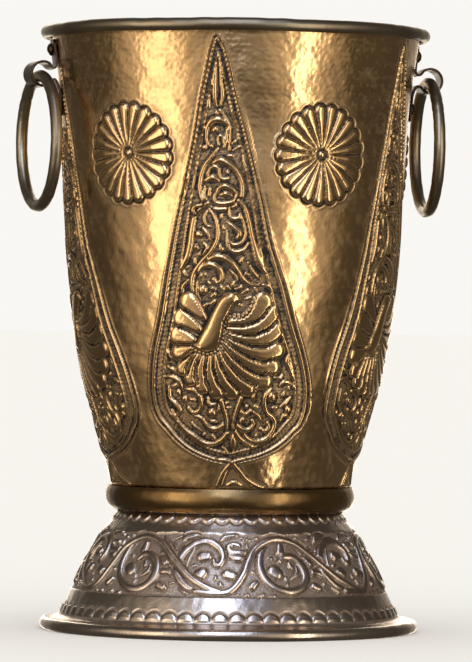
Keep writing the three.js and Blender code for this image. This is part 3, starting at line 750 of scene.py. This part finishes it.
def finished(piece, body, finish, sharp=35):
    """Smooth shading, the material, the body it rides and the slot it takes its finish from."""
    only(piece)
    bpy.ops.object.shade_smooth_by_angle(angle=math.radians(sharp))
    piece.data.materials.clear()
    piece.data.materials.append(finish)
    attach(piece, body)


def only(piece):
    """Makes one object the sole selected and active one."""
    bpy.ops.object.select_all(action="DESELECT")
    piece.select_set(True)
    bpy.context.view_layer.objects.active = piece


# ---- Materials ----

def add(tree, kind, settings=None, links=None, **properties):
    """A node with its properties, its inputs' values and the sockets that lead into it."""
    made = tree.nodes.new(kind)
    for name, value in properties.items():
        setattr(made, name, value)
    for name, value in (settings or {}).items():
        made.inputs[name].default_value = value
    for name, socket in (links or {}).items():
        tree.links.new(socket, made.inputs[name])
    return made


CLOUD = 48  # size in mm of the patches of tarnish
SPECK = 3.2  # size in mm of the flecks


def brass(name, clean, dull, grime, rough, dull_rough, grain_mm, dent, patches, hollow):
    """Worked brass: clean metal, duller patches of tarnish, and dark grime where the hollow mark says.

    It shows warm reflections that break up over fine hammering, matt brown in the patches and black-brown
    in the chased lines. rough is the roughness of clean metal, and dull_rough that of tarnish.
    """
    material = bpy.data.materials.new(name)
    material.use_nodes = True
    tree = material.node_tree
    tree.nodes.clear()
    place = add(tree, "ShaderNodeTexCoord").outputs["Object"]
    at = {"Vector": place}
    cloud = add(tree, "ShaderNodeTexNoise", {"Scale": 1 / (CLOUD * MM), "Detail": 4.0, "Roughness": 0.5}, at)
    speck = add(tree, "ShaderNodeTexNoise", {"Scale": 1 / (SPECK * MM), "Detail": 5.0, "Roughness": 0.6}, at)
    grain = add(tree, "ShaderNodeTexNoise", {"Scale": 1 / (grain_mm * MM), "Detail": 3.0}, at)
    spread = add(tree, "ShaderNodeMapRange", {"From Min": 0.34, "From Max": 0.78, "To Max": patches},
                 {"Value": cloud.outputs["Fac"]})
    fleck = add(tree, "ShaderNodeMapRange", {"From Min": 0.58, "From Max": 0.74, "To Max": 0.28 * patches},
                {"Value": speck.outputs["Fac"]})
    tarnish = add(tree, "ShaderNodeMath", {}, {0: spread.outputs[0], 1: fleck.outputs[0]}, operation="ADD")
    tarnish.use_clamp = True
    tarnish = tarnish.outputs[0]
    colour = add(tree, "ShaderNodeMix", {6: linear(clean), 7: linear(dull)}, {0: tarnish}, data_type="RGBA")
    tone = colour.outputs[2]
    shine = add(tree, "ShaderNodeMapRange", {"To Min": rough, "To Max": dull_rough}, {"Value": tarnish})
    roughness = shine.outputs[0]
    metallic = None
    if hollow:
        deep = add(tree, "ShaderNodeAttribute", attribute_name="hollow").outputs["Fac"]
        span = {"From Min": 0.3, "From Max": 0.7, "To Min": 0.75, "To Max": 1.25}
        uneven = add(tree, "ShaderNodeMapRange", span, {"Value": speck.outputs["Fac"]}).outputs[0]
        filth = add(tree, "ShaderNodeMath", {}, {0: deep, 1: uneven}, operation="MULTIPLY")
        filth.use_clamp = True
        filth = filth.outputs[0]
        dirty = add(tree, "ShaderNodeMix", {7: linear(grime)}, {0: filth, 6: tone}, data_type="RGBA")
        tone = dirty.outputs[2]
        rougher = add(tree, "ShaderNodeMapRange", {"To Max": 0.4}, {"Value": filth}).outputs[0]
        roughness = add(tree, "ShaderNodeMath", {}, {0: roughness, 1: rougher}, operation="ADD").outputs[0]
        bare = add(tree, "ShaderNodeMapRange", {"To Min": 1.0, "To Max": 0.35}, {"Value": filth})
        metallic = bare.outputs[0]
    deep_dent = {"Strength": 1.0, "Distance": dent * MM}
    bump = add(tree, "ShaderNodeBump", deep_dent, {"Height": grain.outputs["Fac"]})
    finer = add(tree, "ShaderNodeBump", {"Strength": 1.0, "Distance": 0.35 * dent * MM},
                {"Height": speck.outputs["Fac"], "Normal": bump.outputs["Normal"]})
    links = {"Base Color": tone, "Roughness": roughness, "Normal": finer.outputs["Normal"]}
    if metallic:
        links["Metallic"] = metallic
    shader = add(tree, "ShaderNodeBsdfPrincipled", {"Metallic": 1.0}, links)
    add(tree, "ShaderNodeOutputMaterial", {}, {"Surface": shader.outputs["BSDF"]})
    return material


# Each finish: clean colour, dull colour, what fills the hollows, roughness clean and dull, grain in mm,
# depth of its dents in mm, share of dull patches, and the attribute that holds the hollows.
FINISHES = {
    # Sheet brass planished by hand: bright broken reflections, with black-brown in the chased lines.
    "planished_brass": ("brass", "tarnish", "grime", 0.17, 0.27, 1.5, 0.055, 0.6, "hollow"),
    # Brass gone grey from handling: pewter-like, cool where it faces up, and only brown in its hollows.
    "smoked_foot_brass": ("foot_brass", "foot_tarnish", "rod_tarnish", 0.22, 0.34, 1.2, 0.05, 0.9, "hollow"),
    # Cast or drawn half-round, browner than the wall, with a soft long highlight.
    "brown_collar_brass": ("collar", "strap", "grime", 0.2, 0.36, 1.3, 0.05, 1.0, ""),
    # Drawn rod worn by the hand: grey-brown and satin.
    "worn_rod_brass": ("rod", "rod_tarnish", "grime", 0.34, 0.46, 1.0, 0.05, 0.9, ""),
    # Strip that was never polished: near black-brown, with little shine.
    "dark_strap_brass": ("strap", "strap_tarnish", "grime", 0.34, 0.5, 1.4, 0.08, 1.0, ""),
    # The uncleaned inside: dull, rough and patchy.
    "inner_brass": ("inner", "tarnish", "grime", 0.34, 0.5, 2.2, 0.08, 1.0, ""),
}
made = {}


def finish(name):
    """The named finish, made once with the colours that the panel holds."""
    if name not in made:
        if name in bpy.data.materials:
            raise ValueError(f"{name} is already the name of one of the CAD's materials")
        tint = bpy.context.scene.vessel_finish
        clean, dull, grime, *rest = FINISHES[name]
        made[name] = brass(name, getattr(tint, clean), getattr(tint, dull), getattr(tint, grime), *rest)
    return made[name]


# ---- Sizes and colours that a user would change ----

def colour_word(name, default, description):
    return bpy.props.StringProperty(name=name, default=default, description=description)


class VesselFinish(bpy.types.PropertyGroup):
    brass: colour_word("Brass", "#E0B985", "Clean metal of the beaker, as an sRGB hex value")
    tarnish: colour_word("Tarnish", "#9F805A", "Duller patches of the beaker")
    grime: colour_word("Grime", "#1C140B", "What fills the hollows")
    collar: colour_word("Collar", "#A07F50", "Clean metal of the half-round collar")
    foot_brass: colour_word("Foot brass", "#CEC0B2", "Clean metal of the foot")
    foot_tarnish: colour_word("Foot tarnish", "#98806C", "Duller patches of the foot")
    rod: colour_word("Rod", "#A59A82", "Metal of the rings and the lip's roll")
    rod_tarnish: colour_word("Rod tarnish", "#6B523B", "Duller patches of the rings")
    strap: colour_word("Strap", "#5A4A36", "Metal of the hangers and rivets")
    strap_tarnish: colour_word("Strap tarnish", "#2C2621", "Duller patches of the hangers")
    inner: colour_word("Inside", "#8A6C42", "Metal of the inside and the floor")


class VesselSizes(bpy.types.PropertyGroup):
    relief: bpy.props.FloatProperty(
        name="Relief", default=1.0, min=0.5, max=1.1, subtype="FACTOR",
        description="How boldly the figures stand out, as a share of their own height",
    )
    ring_rod: bpy.props.FloatProperty(
        name="Ring rod", default=3.0 * MM, unit="LENGTH", description="Radius of the rings' round rod",
    )
    strap_edge: bpy.props.FloatProperty(
        name="Strap edge", default=0.3 * MM, unit="LENGTH",
        description="How far the straps' edges are rounded",
    )


# ---- The pieces ----

def turned(name, outline, steps, sharp_close=True):
    """A closed outline of radius and height, in millimetres, spun round the upright axis."""
    count = len(outline)
    mesh = bpy.data.meshes.new(name)
    edges = [(i, (i + 1) % count) for i in range(count if sharp_close else count - 1)]
    mesh.from_pydata([(r * MM, 0, z * MM) for r, z in outline], edges, [])
    piece = bpy.data.objects.new(name, mesh)
    bpy.context.collection.objects.link(piece)
    only(piece)
    bpy.ops.object.mode_set(mode="EDIT")
    bpy.ops.mesh.select_all(action="SELECT")
    bpy.ops.mesh.spin(steps=steps, angle=2 * math.pi, center=(0, 0, 0), axis=(0, 0, 1))
    bpy.ops.mesh.select_all(action="SELECT")
    bpy.ops.mesh.remove_doubles(threshold=0.00002)
    bpy.ops.mesh.normals_make_consistent(inside=False)
    bpy.ops.object.mode_set(mode="OBJECT")
    return piece


def vertices_of(piece):
    places = np.empty(len(piece.data.vertices) * 3)
    piece.data.vertices.foreach_get("co", places)
    return places.reshape(-1, 3)


def in_the_round(piece):
    """A piece's places in millimetres, with the radius and the azimuth of each."""
    places = vertices_of(piece) / MM
    azimuth = np.degrees(np.arctan2(places[:, 1], places[:, 0]))
    return places, np.hypot(places[:, 0], places[:, 1]), azimuth


def move_vertices(piece, places):
    piece.data.vertices.foreach_set("co", places.ravel())
    piece.data.update()


def arc(x, z, radius, start, end, steps):
    """Points on an arc, from one angle to another in degrees."""
    angles = np.radians(np.linspace(start, end, steps + 1))
    return [(x + radius * math.cos(a), z + radius * math.sin(a)) for a in angles]


def wall_line():
    return smooth_line(BEAKER_FACE, 0.5)


def wall_at(z):
    """Radius of the wall's outer face at a height, and its slope there in radius per height."""
    line = wall_line()
    slope = np.gradient(line[:, 0], line[:, 1])
    return float(np.interp(z, line[:, 1], line[:, 0])), float(np.interp(z, line[:, 1], slope))


def lean_to_wall(places, z, azimuth):
    """Places made along +X, put on the wall's face at a height and an azimuth, square to it."""
    radius, slope = wall_at(z)
    tilt = Matrix.Rotation(math.atan(slope), 3, "Y")
    turn = Matrix.Rotation(math.radians(azimuth), 3, "Z")
    tilted = places @ np.array(tilt).T + np.array([radius * MM, 0, z * MM])
    return tilted @ np.array(turn).T


class VESSEL_OT_beaker(bpy.types.Operator):
    """Raise the beaker's wall as five plates, each with a panel and a rosette"""

    bl_idname = "vessel.beaker"
    bl_label = "Beaker wall"

    def execute(self, context):
        corner = BEAKER_FACE[0]
        turn = [(corner[0] - SHEET, FLANGE_Z), (corner[0] - 0.2, FLANGE_Z + 0.3), corner]
        line = [[(FLANGE_IN, FLANGE_Z)], smooth_line(turn, 0.3), wall_line()[1:], [(91.35, WALL_TOP)]]
        points, facing = wall_rows(np.vstack(line), PLATE["rows"])
        share = np.linspace(0, 1, PLATE["columns"] + 1)
        for number in range(PANELS):
            z = np.repeat(points[:, 1:2], PLATE["columns"] + 1, axis=1)
            radius = np.repeat(points[:, 0:1], PLATE["columns"] + 1, axis=1)
            azimuths = FRONT + PANEL_TURN + PITCH * number + seam_at(z) + PITCH * share[None, :]
            height, worked = beaker_heights(azimuths, z, radius, number)
            height = height * context.scene.vessel_sizes.relief
            marks = recess_marks(height, worked)
            piece = plate(f"beaker_plate_{number + 1}", points, facing, azimuths, height, marks,
                          finish("planished_brass"))
            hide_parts("beaker")
        return {"FINISHED"}


class VESSEL_OT_lip(bpy.types.Operator):
    """Roll the lip outwards over its wire"""

    bl_idname = "vessel.lip"
    bl_label = "Rolled lip"

    def execute(self, context):
        end = 180 - LIP["wrap"]
        outer = arc(LIP["radius"], LIP["z"], LIP["tube"], 180, end, 30)
        close = arc(LIP["radius"], LIP["z"], LIP["tube"] - SHEET, end, 180, 24)
        low = WALL_TOP - 0.2
        outline = [(90.35, low), (90.8, 295.6)] + outer + close + [(91.75, 295.6), (91.36, low)]
        piece = turned("lip_roll", outline, 288)
        places, radius, azimuth = in_the_round(piece)
        loose = soft_step(radius, 91.8, 95)
        wave = 0.14 * wave_noise(azimuth, places[:, 2] * 0, 60, 8, 51)
        wave += 0.05 * wave_noise(azimuth, places[:, 2], 11, 14, 52)
        radial = 1 + (-0.12 + 0.55 * np.clip(wave, -0.4, 0.2)) * loose / 94
        places[:, :2] *= radial[:, None]
        places[:, 2] += np.clip(wave * loose - 0.22 * loose, -0.6, 0)
        move_vertices(piece, places * MM)
        finished(piece, "vessel", finish("worn_rod_brass"), 50)
        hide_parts("beaker")
        return {"FINISHED"}


class VESSEL_OT_foot(bpy.types.Operator):
    """Spin up the foot as three plates, with its scallops, vine and arches, and its rolled edge"""

    bl_idname = "vessel.foot"
    bl_label = "Foot"

    def execute(self, context):
        face = smooth_line(FOOT_FACE, 0.4)
        start = np.array([(FLANGE_IN, FOOT_FLANGE_Z)])
        bend = smooth_line([(FOOT_FACE[0][0] - SHEET, FOOT_FLANGE_Z), (55.1, 59.85), FOOT_FACE[0]], 0.3)
        line = np.vstack([start, bend, face[1:]])[::-1]
        points, facing = wall_rows(line, FOOT_PLATE["rows"])
        columns = FOOT_PLATE["columns"] + 1
        span = 360 / FOOT_PLATE["sectors"]
        for number in range(FOOT_PLATE["sectors"]):
            azimuths = FOOT_PLATE["start"] + span * (number + np.linspace(0, 1, columns)[None, :])
            azimuths = np.repeat(azimuths, len(points), axis=0)
            z = np.repeat(points[:, 1:2], columns, axis=1)
            height, worked = foot_heights(azimuths, z)
            height = height * soft_step(z, 6.6, 8.0) * (1 - soft_step(z, 59.0, 59.6))
            height = height * context.scene.vessel_sizes.relief
            marks = recess_marks(height, worked, 0.62)  # the foot is cleaner in its hollows than the beaker
            piece = plate(f"foot_plate_{number + 1}", points, facing, azimuths, height, marks,
                          finish("smoked_foot_brass"))
            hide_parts("foot")
        self.edge()
        return {"FINISHED"}

    def edge(self):
        """The rolled edge, from the foot's flange over the wire and under it, worn flat where it stands."""
        tube = EDGE["tube"]
        outer = arc(EDGE["radius"], EDGE["z"], tube, 92, 90 - EDGE["wrap"], 36)
        close = arc(EDGE["radius"], EDGE["z"], tube - SHEET, 90 - EDGE["wrap"], 92, 26)
        outline = [(87.2, 6.42), (89.2, 6.02)] + outer + close + [(89.0, 5.0), (87.0, 5.42)]
        piece = turned("foot_edge", outline, 300)
        places, radius, azimuth = in_the_round(piece)
        wave = 0.1 * wave_noise(azimuth, places[:, 2] * 0, 50, 8, 61)
        wave += 0.04 * wave_noise(azimuth, places[:, 2], 9, 14, 62)
        loose = soft_step(radius, 88.5, 91)
        places[:, :2] *= (1 + np.clip(wave - 0.15, -0.5, 0) * loose / 91)[:, None]
        places[:, 2] = np.maximum(places[:, 2] + wave * loose * (places[:, 2] > 1.5), 0)
        move_vertices(piece, places * MM)
        finished(piece, "vessel", finish("smoked_foot_brass"), 50)
        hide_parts("foot")


class VESSEL_OT_collar(bpy.types.Operator):
    """Bend the half-round collar round the joint of beaker and foot"""

    bl_idname = "vessel.collar"
    bl_label = "Collar"

    def execute(self, context):
        face = even_line(smooth_line(COLLAR_FACE, 0.2), 30)
        _, facing = wall_rows(face, 30)
        back = (face - 0.95 * facing)[::-1]
        outline = [tuple(p) for p in np.vstack([face, back])]
        piece = turned("collar_band", outline, 288)
        places, radius, azimuth = in_the_round(piece)
        out = soft_step(radius, 58, 60.5)
        wave = 0.07 * wave_noise(azimuth, places[:, 2], 24, 10, 71, 60)
        wave += 0.03 * wave_noise(azimuth, places[:, 2], 7, 14, 72, 60)
        lap = (azimuth - FRONT - 160 + 180) % 360 - 180
        seam = -0.35 * np.exp(-(lap / 0.35) ** 2)
        places[:, :2] *= (1 + (np.clip(wave, -0.3, 0.12) - 0.12 + seam) * out / radius)[:, None]
        move_vertices(piece, places * MM)
        finished(piece, "vessel", finish("brown_collar_brass"), 45)
        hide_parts("collar")
        return {"FINISHED"}


class VESSEL_OT_floor(bpy.types.Operator):
    """Turn the disc that floors the beaker, hammered and slightly dished"""

    bl_idname = "vessel.floor_disc"
    bl_label = "Floor disc"

    def execute(self, context):
        low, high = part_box("floor_disc")
        radius, under, top = high[0] / MM, low[2] / MM, high[2] / MM
        rim = [(radius - 0.3, top), (radius, top - 0.3), (radius, under + 0.3), (radius - 0.3, under)]
        inward = [(r, top) for r in np.linspace(0, radius - 0.8, 60)]
        outline = inward + rim + [(r, under) for r in (radius * 0.7, radius * 0.35, 0)]
        piece = turned("floor_plate", outline, 144)
        places, radius_at, _ = in_the_round(piece)
        upper = (places[:, 2] > top - 0.05).astype(float)
        rings = 0.05 * np.cos(radius_at * 2 * np.pi / 7) - 0.05
        dents = 0.05 * np.sin(places[:, 0] / 2.3) * np.cos(places[:, 1] / 2.9) - 0.05
        places[:, 2] += upper * (rings + dents)
        move_vertices(piece, places * MM)
        finished(piece, "vessel", finish("inner_brass"), 40)
        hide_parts("floor_disc")
        return {"FINISHED"}


def hand_over(piece, azimuth):
    """Turns a piece made on the +X side round to its azimuth, in its mesh."""
    turn = np.array(Matrix.Rotation(math.radians(azimuth), 3, "Z"))
    move_vertices(piece, vertices_of(piece) @ turn.T)


STRAP = {"width": 14.5, "thickness": 1.2, "top": 292.6, "leave": 281.6, "land": 267.8, "bottom": 254.8}
EYE = {"x": 98.1, "z": 275.4, "radius": 6.0, "open": 60}
RING = {"middle": 32.2, "pivot_z": 274.4}  # radius of the rod's middle line, and where the eye carries it
SIDES = (("left", 180.0, 9.0), ("right", 0.0, 0.0))  # azimuth, and how far the eye is bent round
RIVETS = (("upper", 287.9), ("lower", 261.4))


def strap_middle():
    """The middle of the strap: down the wall, round the eye and down the wall again."""
    off = GAP + STRAP["thickness"] / 2
    half = EYE["open"] / 2

    def beside_wall(z):
        return (wall_at(z)[0] + off, z)

    loop = arc(EYE["x"], EYE["z"], EYE["radius"], 180 - half, half - 180, 30)
    first, last = loop[0], loop[-1]
    leave = STRAP["leave"]
    down = [beside_wall(z) for z in (STRAP["top"], 290.2, RIVETS[0][1], 285, leave + 1.5, leave)]
    down += [(first[0] - 2.1, first[1] + 0.5)] + loop[::3] + [(last[0] - 2.2, last[1] - 0.3)]
    down += [beside_wall(z) for z in (STRAP["land"], 265, RIVETS[1][1], 258, STRAP["bottom"])]
    return even_line(smooth_line(down, 0.3), 110)


class VESSEL_OT_hangers(bpy.types.Operator):
    """Bend the two straps that carry the rings, each with an eye between two riveted legs"""

    bl_idname = "vessel.hangers"
    bl_label = "Hangers"

    def execute(self, context):
        line = strap_middle()
        count = len(line)
        for side, azimuth, skew in SIDES:
            bpy.ops.object.select_all(action="DESELECT")
            bpy.ops.mesh.primitive_grid_add(x_subdivisions=count - 1, y_subdivisions=12, size=1)
            piece = bpy.context.active_object
            piece.name = f"hanger_strap_{side}"
            flat = vertices_of(piece)
            along = np.rint((flat[:, 0] + 0.5) * (count - 1)).astype(int)
            across = flat[:, 1] * (STRAP["width"] - 0.2)
            run = along / (count - 1)
            end = np.minimum(run, 1 - run) * 75
            across = across * (1 - 0.16 * (1 - soft_step(end, 0, 2.6)))  # the corners are filed off
            across = across * (1 + 0.03 * np.sin(run * 9 + azimuth))
            places = np.column_stack([line[along, 0], across, line[along, 1]])
            off = places[:, 0] - np.interp(places[:, 2], wall_line()[:, 1], wall_line()[:, 0])
            turn = np.radians(skew) * soft_step(off, 1.8, EYE["radius"])
            x = places[:, 0] - EYE["x"]
            y = places[:, 1].copy()
            places[:, 0] = EYE["x"] + x * np.cos(turn) - y * np.sin(turn)
            places[:, 1] = x * np.sin(turn) + y * np.cos(turn)
            move_vertices(piece, places * MM)
            only(piece)
            wall = piece.modifiers.new("sheet", "SOLIDIFY")
            wall.thickness = STRAP["thickness"] * MM
            wall.offset = 0
            bpy.ops.object.modifier_apply(modifier="sheet")
            edge = piece.modifiers.new("edge", "BEVEL")
            edge.width = context.scene.vessel_sizes.strap_edge
            edge.segments = 3
            edge.limit_method = "ANGLE"
            edge.angle_limit = math.radians(50)
            bpy.ops.object.modifier_apply(modifier="edge")
            hand_over(piece, azimuth)
            finished(piece, "vessel", finish("dark_strap_brass"), 40)
            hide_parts(f"hanger_{side}")
        return {"FINISHED"}


class VESSEL_OT_rivets(bpy.types.Operator):
    """Set the four domed rivets, hammered over inside the wall"""

    bl_idname = "vessel.rivets"
    bl_label = "Rivets"

    def execute(self, context):
        seat = STRAP["thickness"] + 2 * GAP
        back = -SHEET - GAP
        tail = [(0, back - 1.3), (1.2, back - 1.22), (2.0, back - 0.95), (2.55, back - 0.45)]
        tail += [(2.7, back - 0.1), (2.6, back)]
        head = [(1.6, back), (1.6, seat), (3.05, seat), (3.2, seat + 0.25), (3.12, seat + 0.75)]
        head += [(2.8, seat + 1.35)]
        head += [(2.2, seat + 1.9), (1.4, seat + 2.3), (0.6, seat + 2.46), (0, seat + 2.5)]
        for side, azimuth, _ in SIDES:
            for name, z in RIVETS:
                piece = turned(f"rivet_head_{side}_{name}", tail + head, 32, sharp_close=False)
                places = vertices_of(piece)
                rng = np.random.default_rng(int(z + azimuth))
                blows = rng.uniform(-1, 1, (6, 2)) * 2.4 * MM
                for blow in blows:  # each hammer blow leaves a small flat on the dome
                    near = np.hypot(places[:, 0] - blow[0], places[:, 1] - blow[1]) < 1.1 * MM
                    near &= places[:, 2] > (seat + 0.9) * MM
                    places[near, 2] -= 0.1 * MM
                laid = places[:, [2, 1, 0]] * [1, 1, -1]
                move_vertices(piece, lean_to_wall(laid, z, azimuth))
                finished(piece, "vessel", finish("dark_strap_brass"), 40)
                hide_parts(f"rivet_{side}_{name}")
        return {"FINISHED"}


class VESSEL_OT_rings(bpy.types.Operator):
    """Bend the two rings of round rod, each with a brazed joint, a worn place and faint hammer flats"""

    bl_idname = "vessel.rings"
    bl_label = "Rings"

    def execute(self, context):
        rod = context.scene.vessel_sizes.ring_rod
        middle = RING["middle"] * MM
        pivot = (EYE["x"] * MM, 0, RING["pivot_z"] * MM)
        for side, azimuth, skew in SIDES:
            bpy.ops.object.select_all(action="DESELECT")
            bpy.ops.mesh.primitive_torus_add(
                major_radius=middle, minor_radius=rod, major_segments=160, minor_segments=28, align="WORLD",
            )
            piece = bpy.context.active_object
            piece.name = f"ring_rod_{side}"
            places = vertices_of(piece)
            reach = np.hypot(places[:, 0], places[:, 1])
            angle = np.arctan2(places[:, 1], places[:, 0])
            core = np.column_stack([middle * np.cos(angle), middle * np.sin(angle), 0 * angle])
            out = (places - core) / rod
            flats = 0.018 * np.sin(angle * 11 + azimuth) * np.cos(angle * 5)
            size = 1 - 0.02 + flats - 0.012 * np.cos(angle * 23)
            joint = np.exp(-((angle - 2.5) / 0.05) ** 2)
            size = size + 0.02 * joint - 0.06 * np.exp(-((np.abs(angle - 2.5) - 0.09) / 0.025) ** 2)
            worn = np.exp(-((np.abs(angle) - np.pi / 2) / 0.22) ** 2) * (angle > 0) * (reach < middle)
            size = np.minimum(size - 0.06 * worn, 1.0)
            places = core + out * rod * size[:, None]
            upright = np.column_stack([places[:, 2], places[:, 0], places[:, 1] - middle])
            turn = np.array(Matrix.Rotation(math.radians(skew), 3, "Z"))
            move_vertices(piece, upright @ turn.T + np.array(pivot))
            hand_over(piece, azimuth)
            finished(piece, f"ring_{side}", finish("worn_rod_brass"), 60)
            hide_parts(f"ring_{side}")
        return {"FINISHED"}


class VESSEL_OT_wires(bpy.types.Operator):
    """Finish the two wires inside the rolled lip and the rolled edge"""

    bl_idname = "vessel.wires"
    bl_label = "Wires"

    def execute(self, context):
        for name in ("lip_wire", "foot_wire"):
            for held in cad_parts[name].material_slots:
                held.material = finish("dark_strap_brass")
        return {"FINISHED"}


GLOWS = (  # bearing to the right of the viewer, elevation, half-width in degrees, strength and colour
    (-46, 8, 50, 0.66, "#FFF1DE"),
    (46, 5, 38, 0.52, "#FFF1DC"),
    (6, 10, 34, 0.3, "#EEF0F4"),
    (180, 10, 46, 0.5, "#FFF4E4"),
    (-5, 50, 32, 0.5, "#B8CFF6"),
)


LIGHTS = (  # name, bearing to the right of the viewer, height, distance, width, length, watts and colour
    ("warm_window_left", -47, 0.26, 1.5, 0.56, 1.2, 4.2, "#FFF1DC"),
    ("warm_window_right", 45, 0.05, 1.5, 0.22, 1.7, 6.2, "#FFF5E4"),
    ("cool_sky_front", -6, 1.05, 1.25, 0.7, 1.8, 15.0, "#CADBFF"),
    ("glow_back_left", 171, 0.3, 1.7, 0.4, 1.5, 5.0, "#FFF4E2"),
    ("glow_back_right", -168, 0.3, 1.7, 0.3, 1.5, 4.0, "#FFF4E2"),
)
CAMERA = {"lens": 266.8, "distance": 2.45, "eye": 0.157, "aim": 0.149, "aside": 0.002, "roll": 0.7}


def aim(thing, target):
    thing.rotation_euler = (Vector(target) - thing.location).to_track_quat("-Z", "Y").to_euler()


def soft_box(name, azimuth, height, distance, width, tall, power, colour):
    """A soft light that faces the vessel from a bearing to the right of the viewer."""
    light = bpy.data.lights.new(name, "AREA")
    light.shape = "RECTANGLE"
    light.size, light.size_y = width, tall
    light.energy = power
    light.color = linear(colour)[:3]
    thing = bpy.data.objects.new(name, light)
    bearing = math.radians(FRONT + azimuth)
    thing.location = (distance * math.cos(bearing), distance * math.sin(bearing), height)
    thing.visible_diffuse = False  # it is there for the metal to mirror, and the even room lights the floor
    bpy.context.collection.objects.link(thing)
    aim(thing, (0, 0, 0.15))
    return thing


class VESSEL_OT_stage(bpy.types.Operator):
    """Lay the pale floor, and set the soft lights and the camera"""

    bl_idname = "vessel.stage"
    bl_label = "Floor, lights and camera"

    def execute(self, context):
        bpy.ops.object.select_all(action="DESELECT")
        bpy.ops.mesh.primitive_plane_add(size=80, location=(0, 0, 0))
        floor = bpy.context.active_object
        floor.name = "floor"
        pale = bpy.data.materials.new("matt_pale_paper")
        pale.use_nodes = True
        shader = pale.node_tree.nodes["Principled BSDF"]
        shader.inputs["Base Color"].default_value = linear("#FDFCFA")
        shader.inputs["Roughness"].default_value = 0.9
        shader.inputs["Specular IOR Level"].default_value = 0.0
        floor.data.materials.append(pale)
        floor.visible_glossy = False  # the metal mirrors the dim room, not the paper it stands on
        floor.visible_shadow = False
        self.lights(context)
        self.camera(context)
        return {"FINISHED"}

    def lights(self, context):
        for light in LIGHTS:
            soft_box(*light)
        world = bpy.data.worlds.new("pale_studio")
        context.scene.world = world
        world.use_nodes = True
        world.cycles.sampling_method = "NONE"
        context.scene.view_settings.view_transform = "Standard"
        tree = world.node_tree
        tree.nodes.clear()
        room = add(tree, "ShaderNodeBackground", {"Color": linear("#F4F2EE"), "Strength": 1.05})
        dusk = self.glow(tree)
        path = add(tree, "ShaderNodeLightPath")
        mixed = {0: path.outputs["Is Glossy Ray"], 1: room.outputs[0], 2: dusk}
        seen = add(tree, "ShaderNodeMixShader", {}, mixed)
        add(tree, "ShaderNodeOutputWorld", {}, {"Surface": seen.outputs[0]})

    def glow(self, tree):
        """What the metal mirrors: a dim brown room with soft glows round each window."""
        toward = add(tree, "ShaderNodeTexCoord").outputs["Generated"]
        total = add(tree, "ShaderNodeBackground", {"Color": linear("#5B5751"), "Strength": 0.8}).outputs[0]
        for azimuth, rise, wide, strength, tint in GLOWS:
            bearing = math.radians(FRONT + azimuth)
            rise = math.radians(rise)
            flat = math.cos(rise)
            middle = (math.cos(bearing) * flat, math.sin(bearing) * flat, math.sin(rise))
            facing = add(tree, "ShaderNodeVectorMath", {1: middle}, {0: toward}, operation="DOT_PRODUCT")
            span = {"From Min": math.cos(math.radians(wide)), "To Max": strength}
            share = add(tree, "ShaderNodeMapRange", span, {"Value": facing.outputs["Value"]},
                        interpolation_type="SMOOTHSTEP")
            light = add(tree, "ShaderNodeBackground", {"Color": linear(tint)}, {"Strength": share.outputs[0]})
            total = add(tree, "ShaderNodeAddShader", {}, {0: total, 1: light.outputs[0]}).outputs[0]
        return total

    def camera(self, context):
        lens = bpy.data.cameras.new("viewer")
        lens.lens = CAMERA["lens"]
        lens.sensor_width = 36
        lens.clip_end = 50
        viewer = bpy.data.objects.new("viewer", lens)
        bearing = math.radians(FRONT)
        distance = CAMERA["distance"]
        viewer.location = (distance * math.cos(bearing), distance * math.sin(bearing), CAMERA["eye"])
        right = Vector((-math.sin(bearing), math.cos(bearing), 0))
        target = right * CAMERA["aside"] + Vector((0, 0, CAMERA["aim"]))
        look = (target - viewer.location).to_track_quat("-Z", "Y").to_matrix()
        roll = Matrix.Rotation(math.radians(CAMERA["roll"]), 3, "Z")
        viewer.rotation_euler = (look @ roll).to_euler()
        context.collection.objects.link(viewer)
        context.scene.camera = viewer


class VESSEL_PT_panel(bpy.types.Panel):
    """The vessel's sizes, finishes and pieces"""

    bl_idname = "VESSEL_PT_panel"
    bl_label = "Footed brass vessel"
    bl_space_type = "VIEW_3D"
    bl_region_type = "UI"
    bl_category = "Vessel"

    def draw(self, context):
        for group in (context.scene.vessel_sizes, context.scene.vessel_finish):
            for name in group.__annotations__:
                self.layout.prop(group, name)
        for piece in PIECES:
            self.layout.operator(piece.bl_idname)


PIECES = (
    VESSEL_OT_beaker, VESSEL_OT_lip, VESSEL_OT_foot, VESSEL_OT_collar, VESSEL_OT_floor, VESSEL_OT_hangers,
    VESSEL_OT_rivets, VESSEL_OT_rings, VESSEL_OT_wires, VESSEL_OT_stage,
)
CLASSES = (VesselFinish, VesselSizes, VESSEL_PT_panel) + PIECES


def register():
    for each in CLASSES:
        bpy.utils.register_class(each)
    bpy.types.Scene.vessel_finish = bpy.props.PointerProperty(type=VesselFinish)
    bpy.types.Scene.vessel_sizes = bpy.props.PointerProperty(type=VesselSizes)


def unregister():
    del bpy.types.Scene.vessel_sizes
    del bpy.types.Scene.vessel_finish
    for each in reversed(CLASSES):
        bpy.utils.unregister_class(each)


def main():
    register()
    bpy.ops.vessel.beaker()
    bpy.ops.vessel.lip()
    bpy.ops.vessel.foot()
    bpy.ops.vessel.collar()
    bpy.ops.vessel.floor_disc()
    bpy.ops.vessel.hangers()
    bpy.ops.vessel.rivets()
    bpy.ops.vessel.rings()
    bpy.ops.vessel.wires()
    bpy.ops.vessel.stage()
    bpy.context.view_layer.update()


if __name__ == "__main__":
    main()
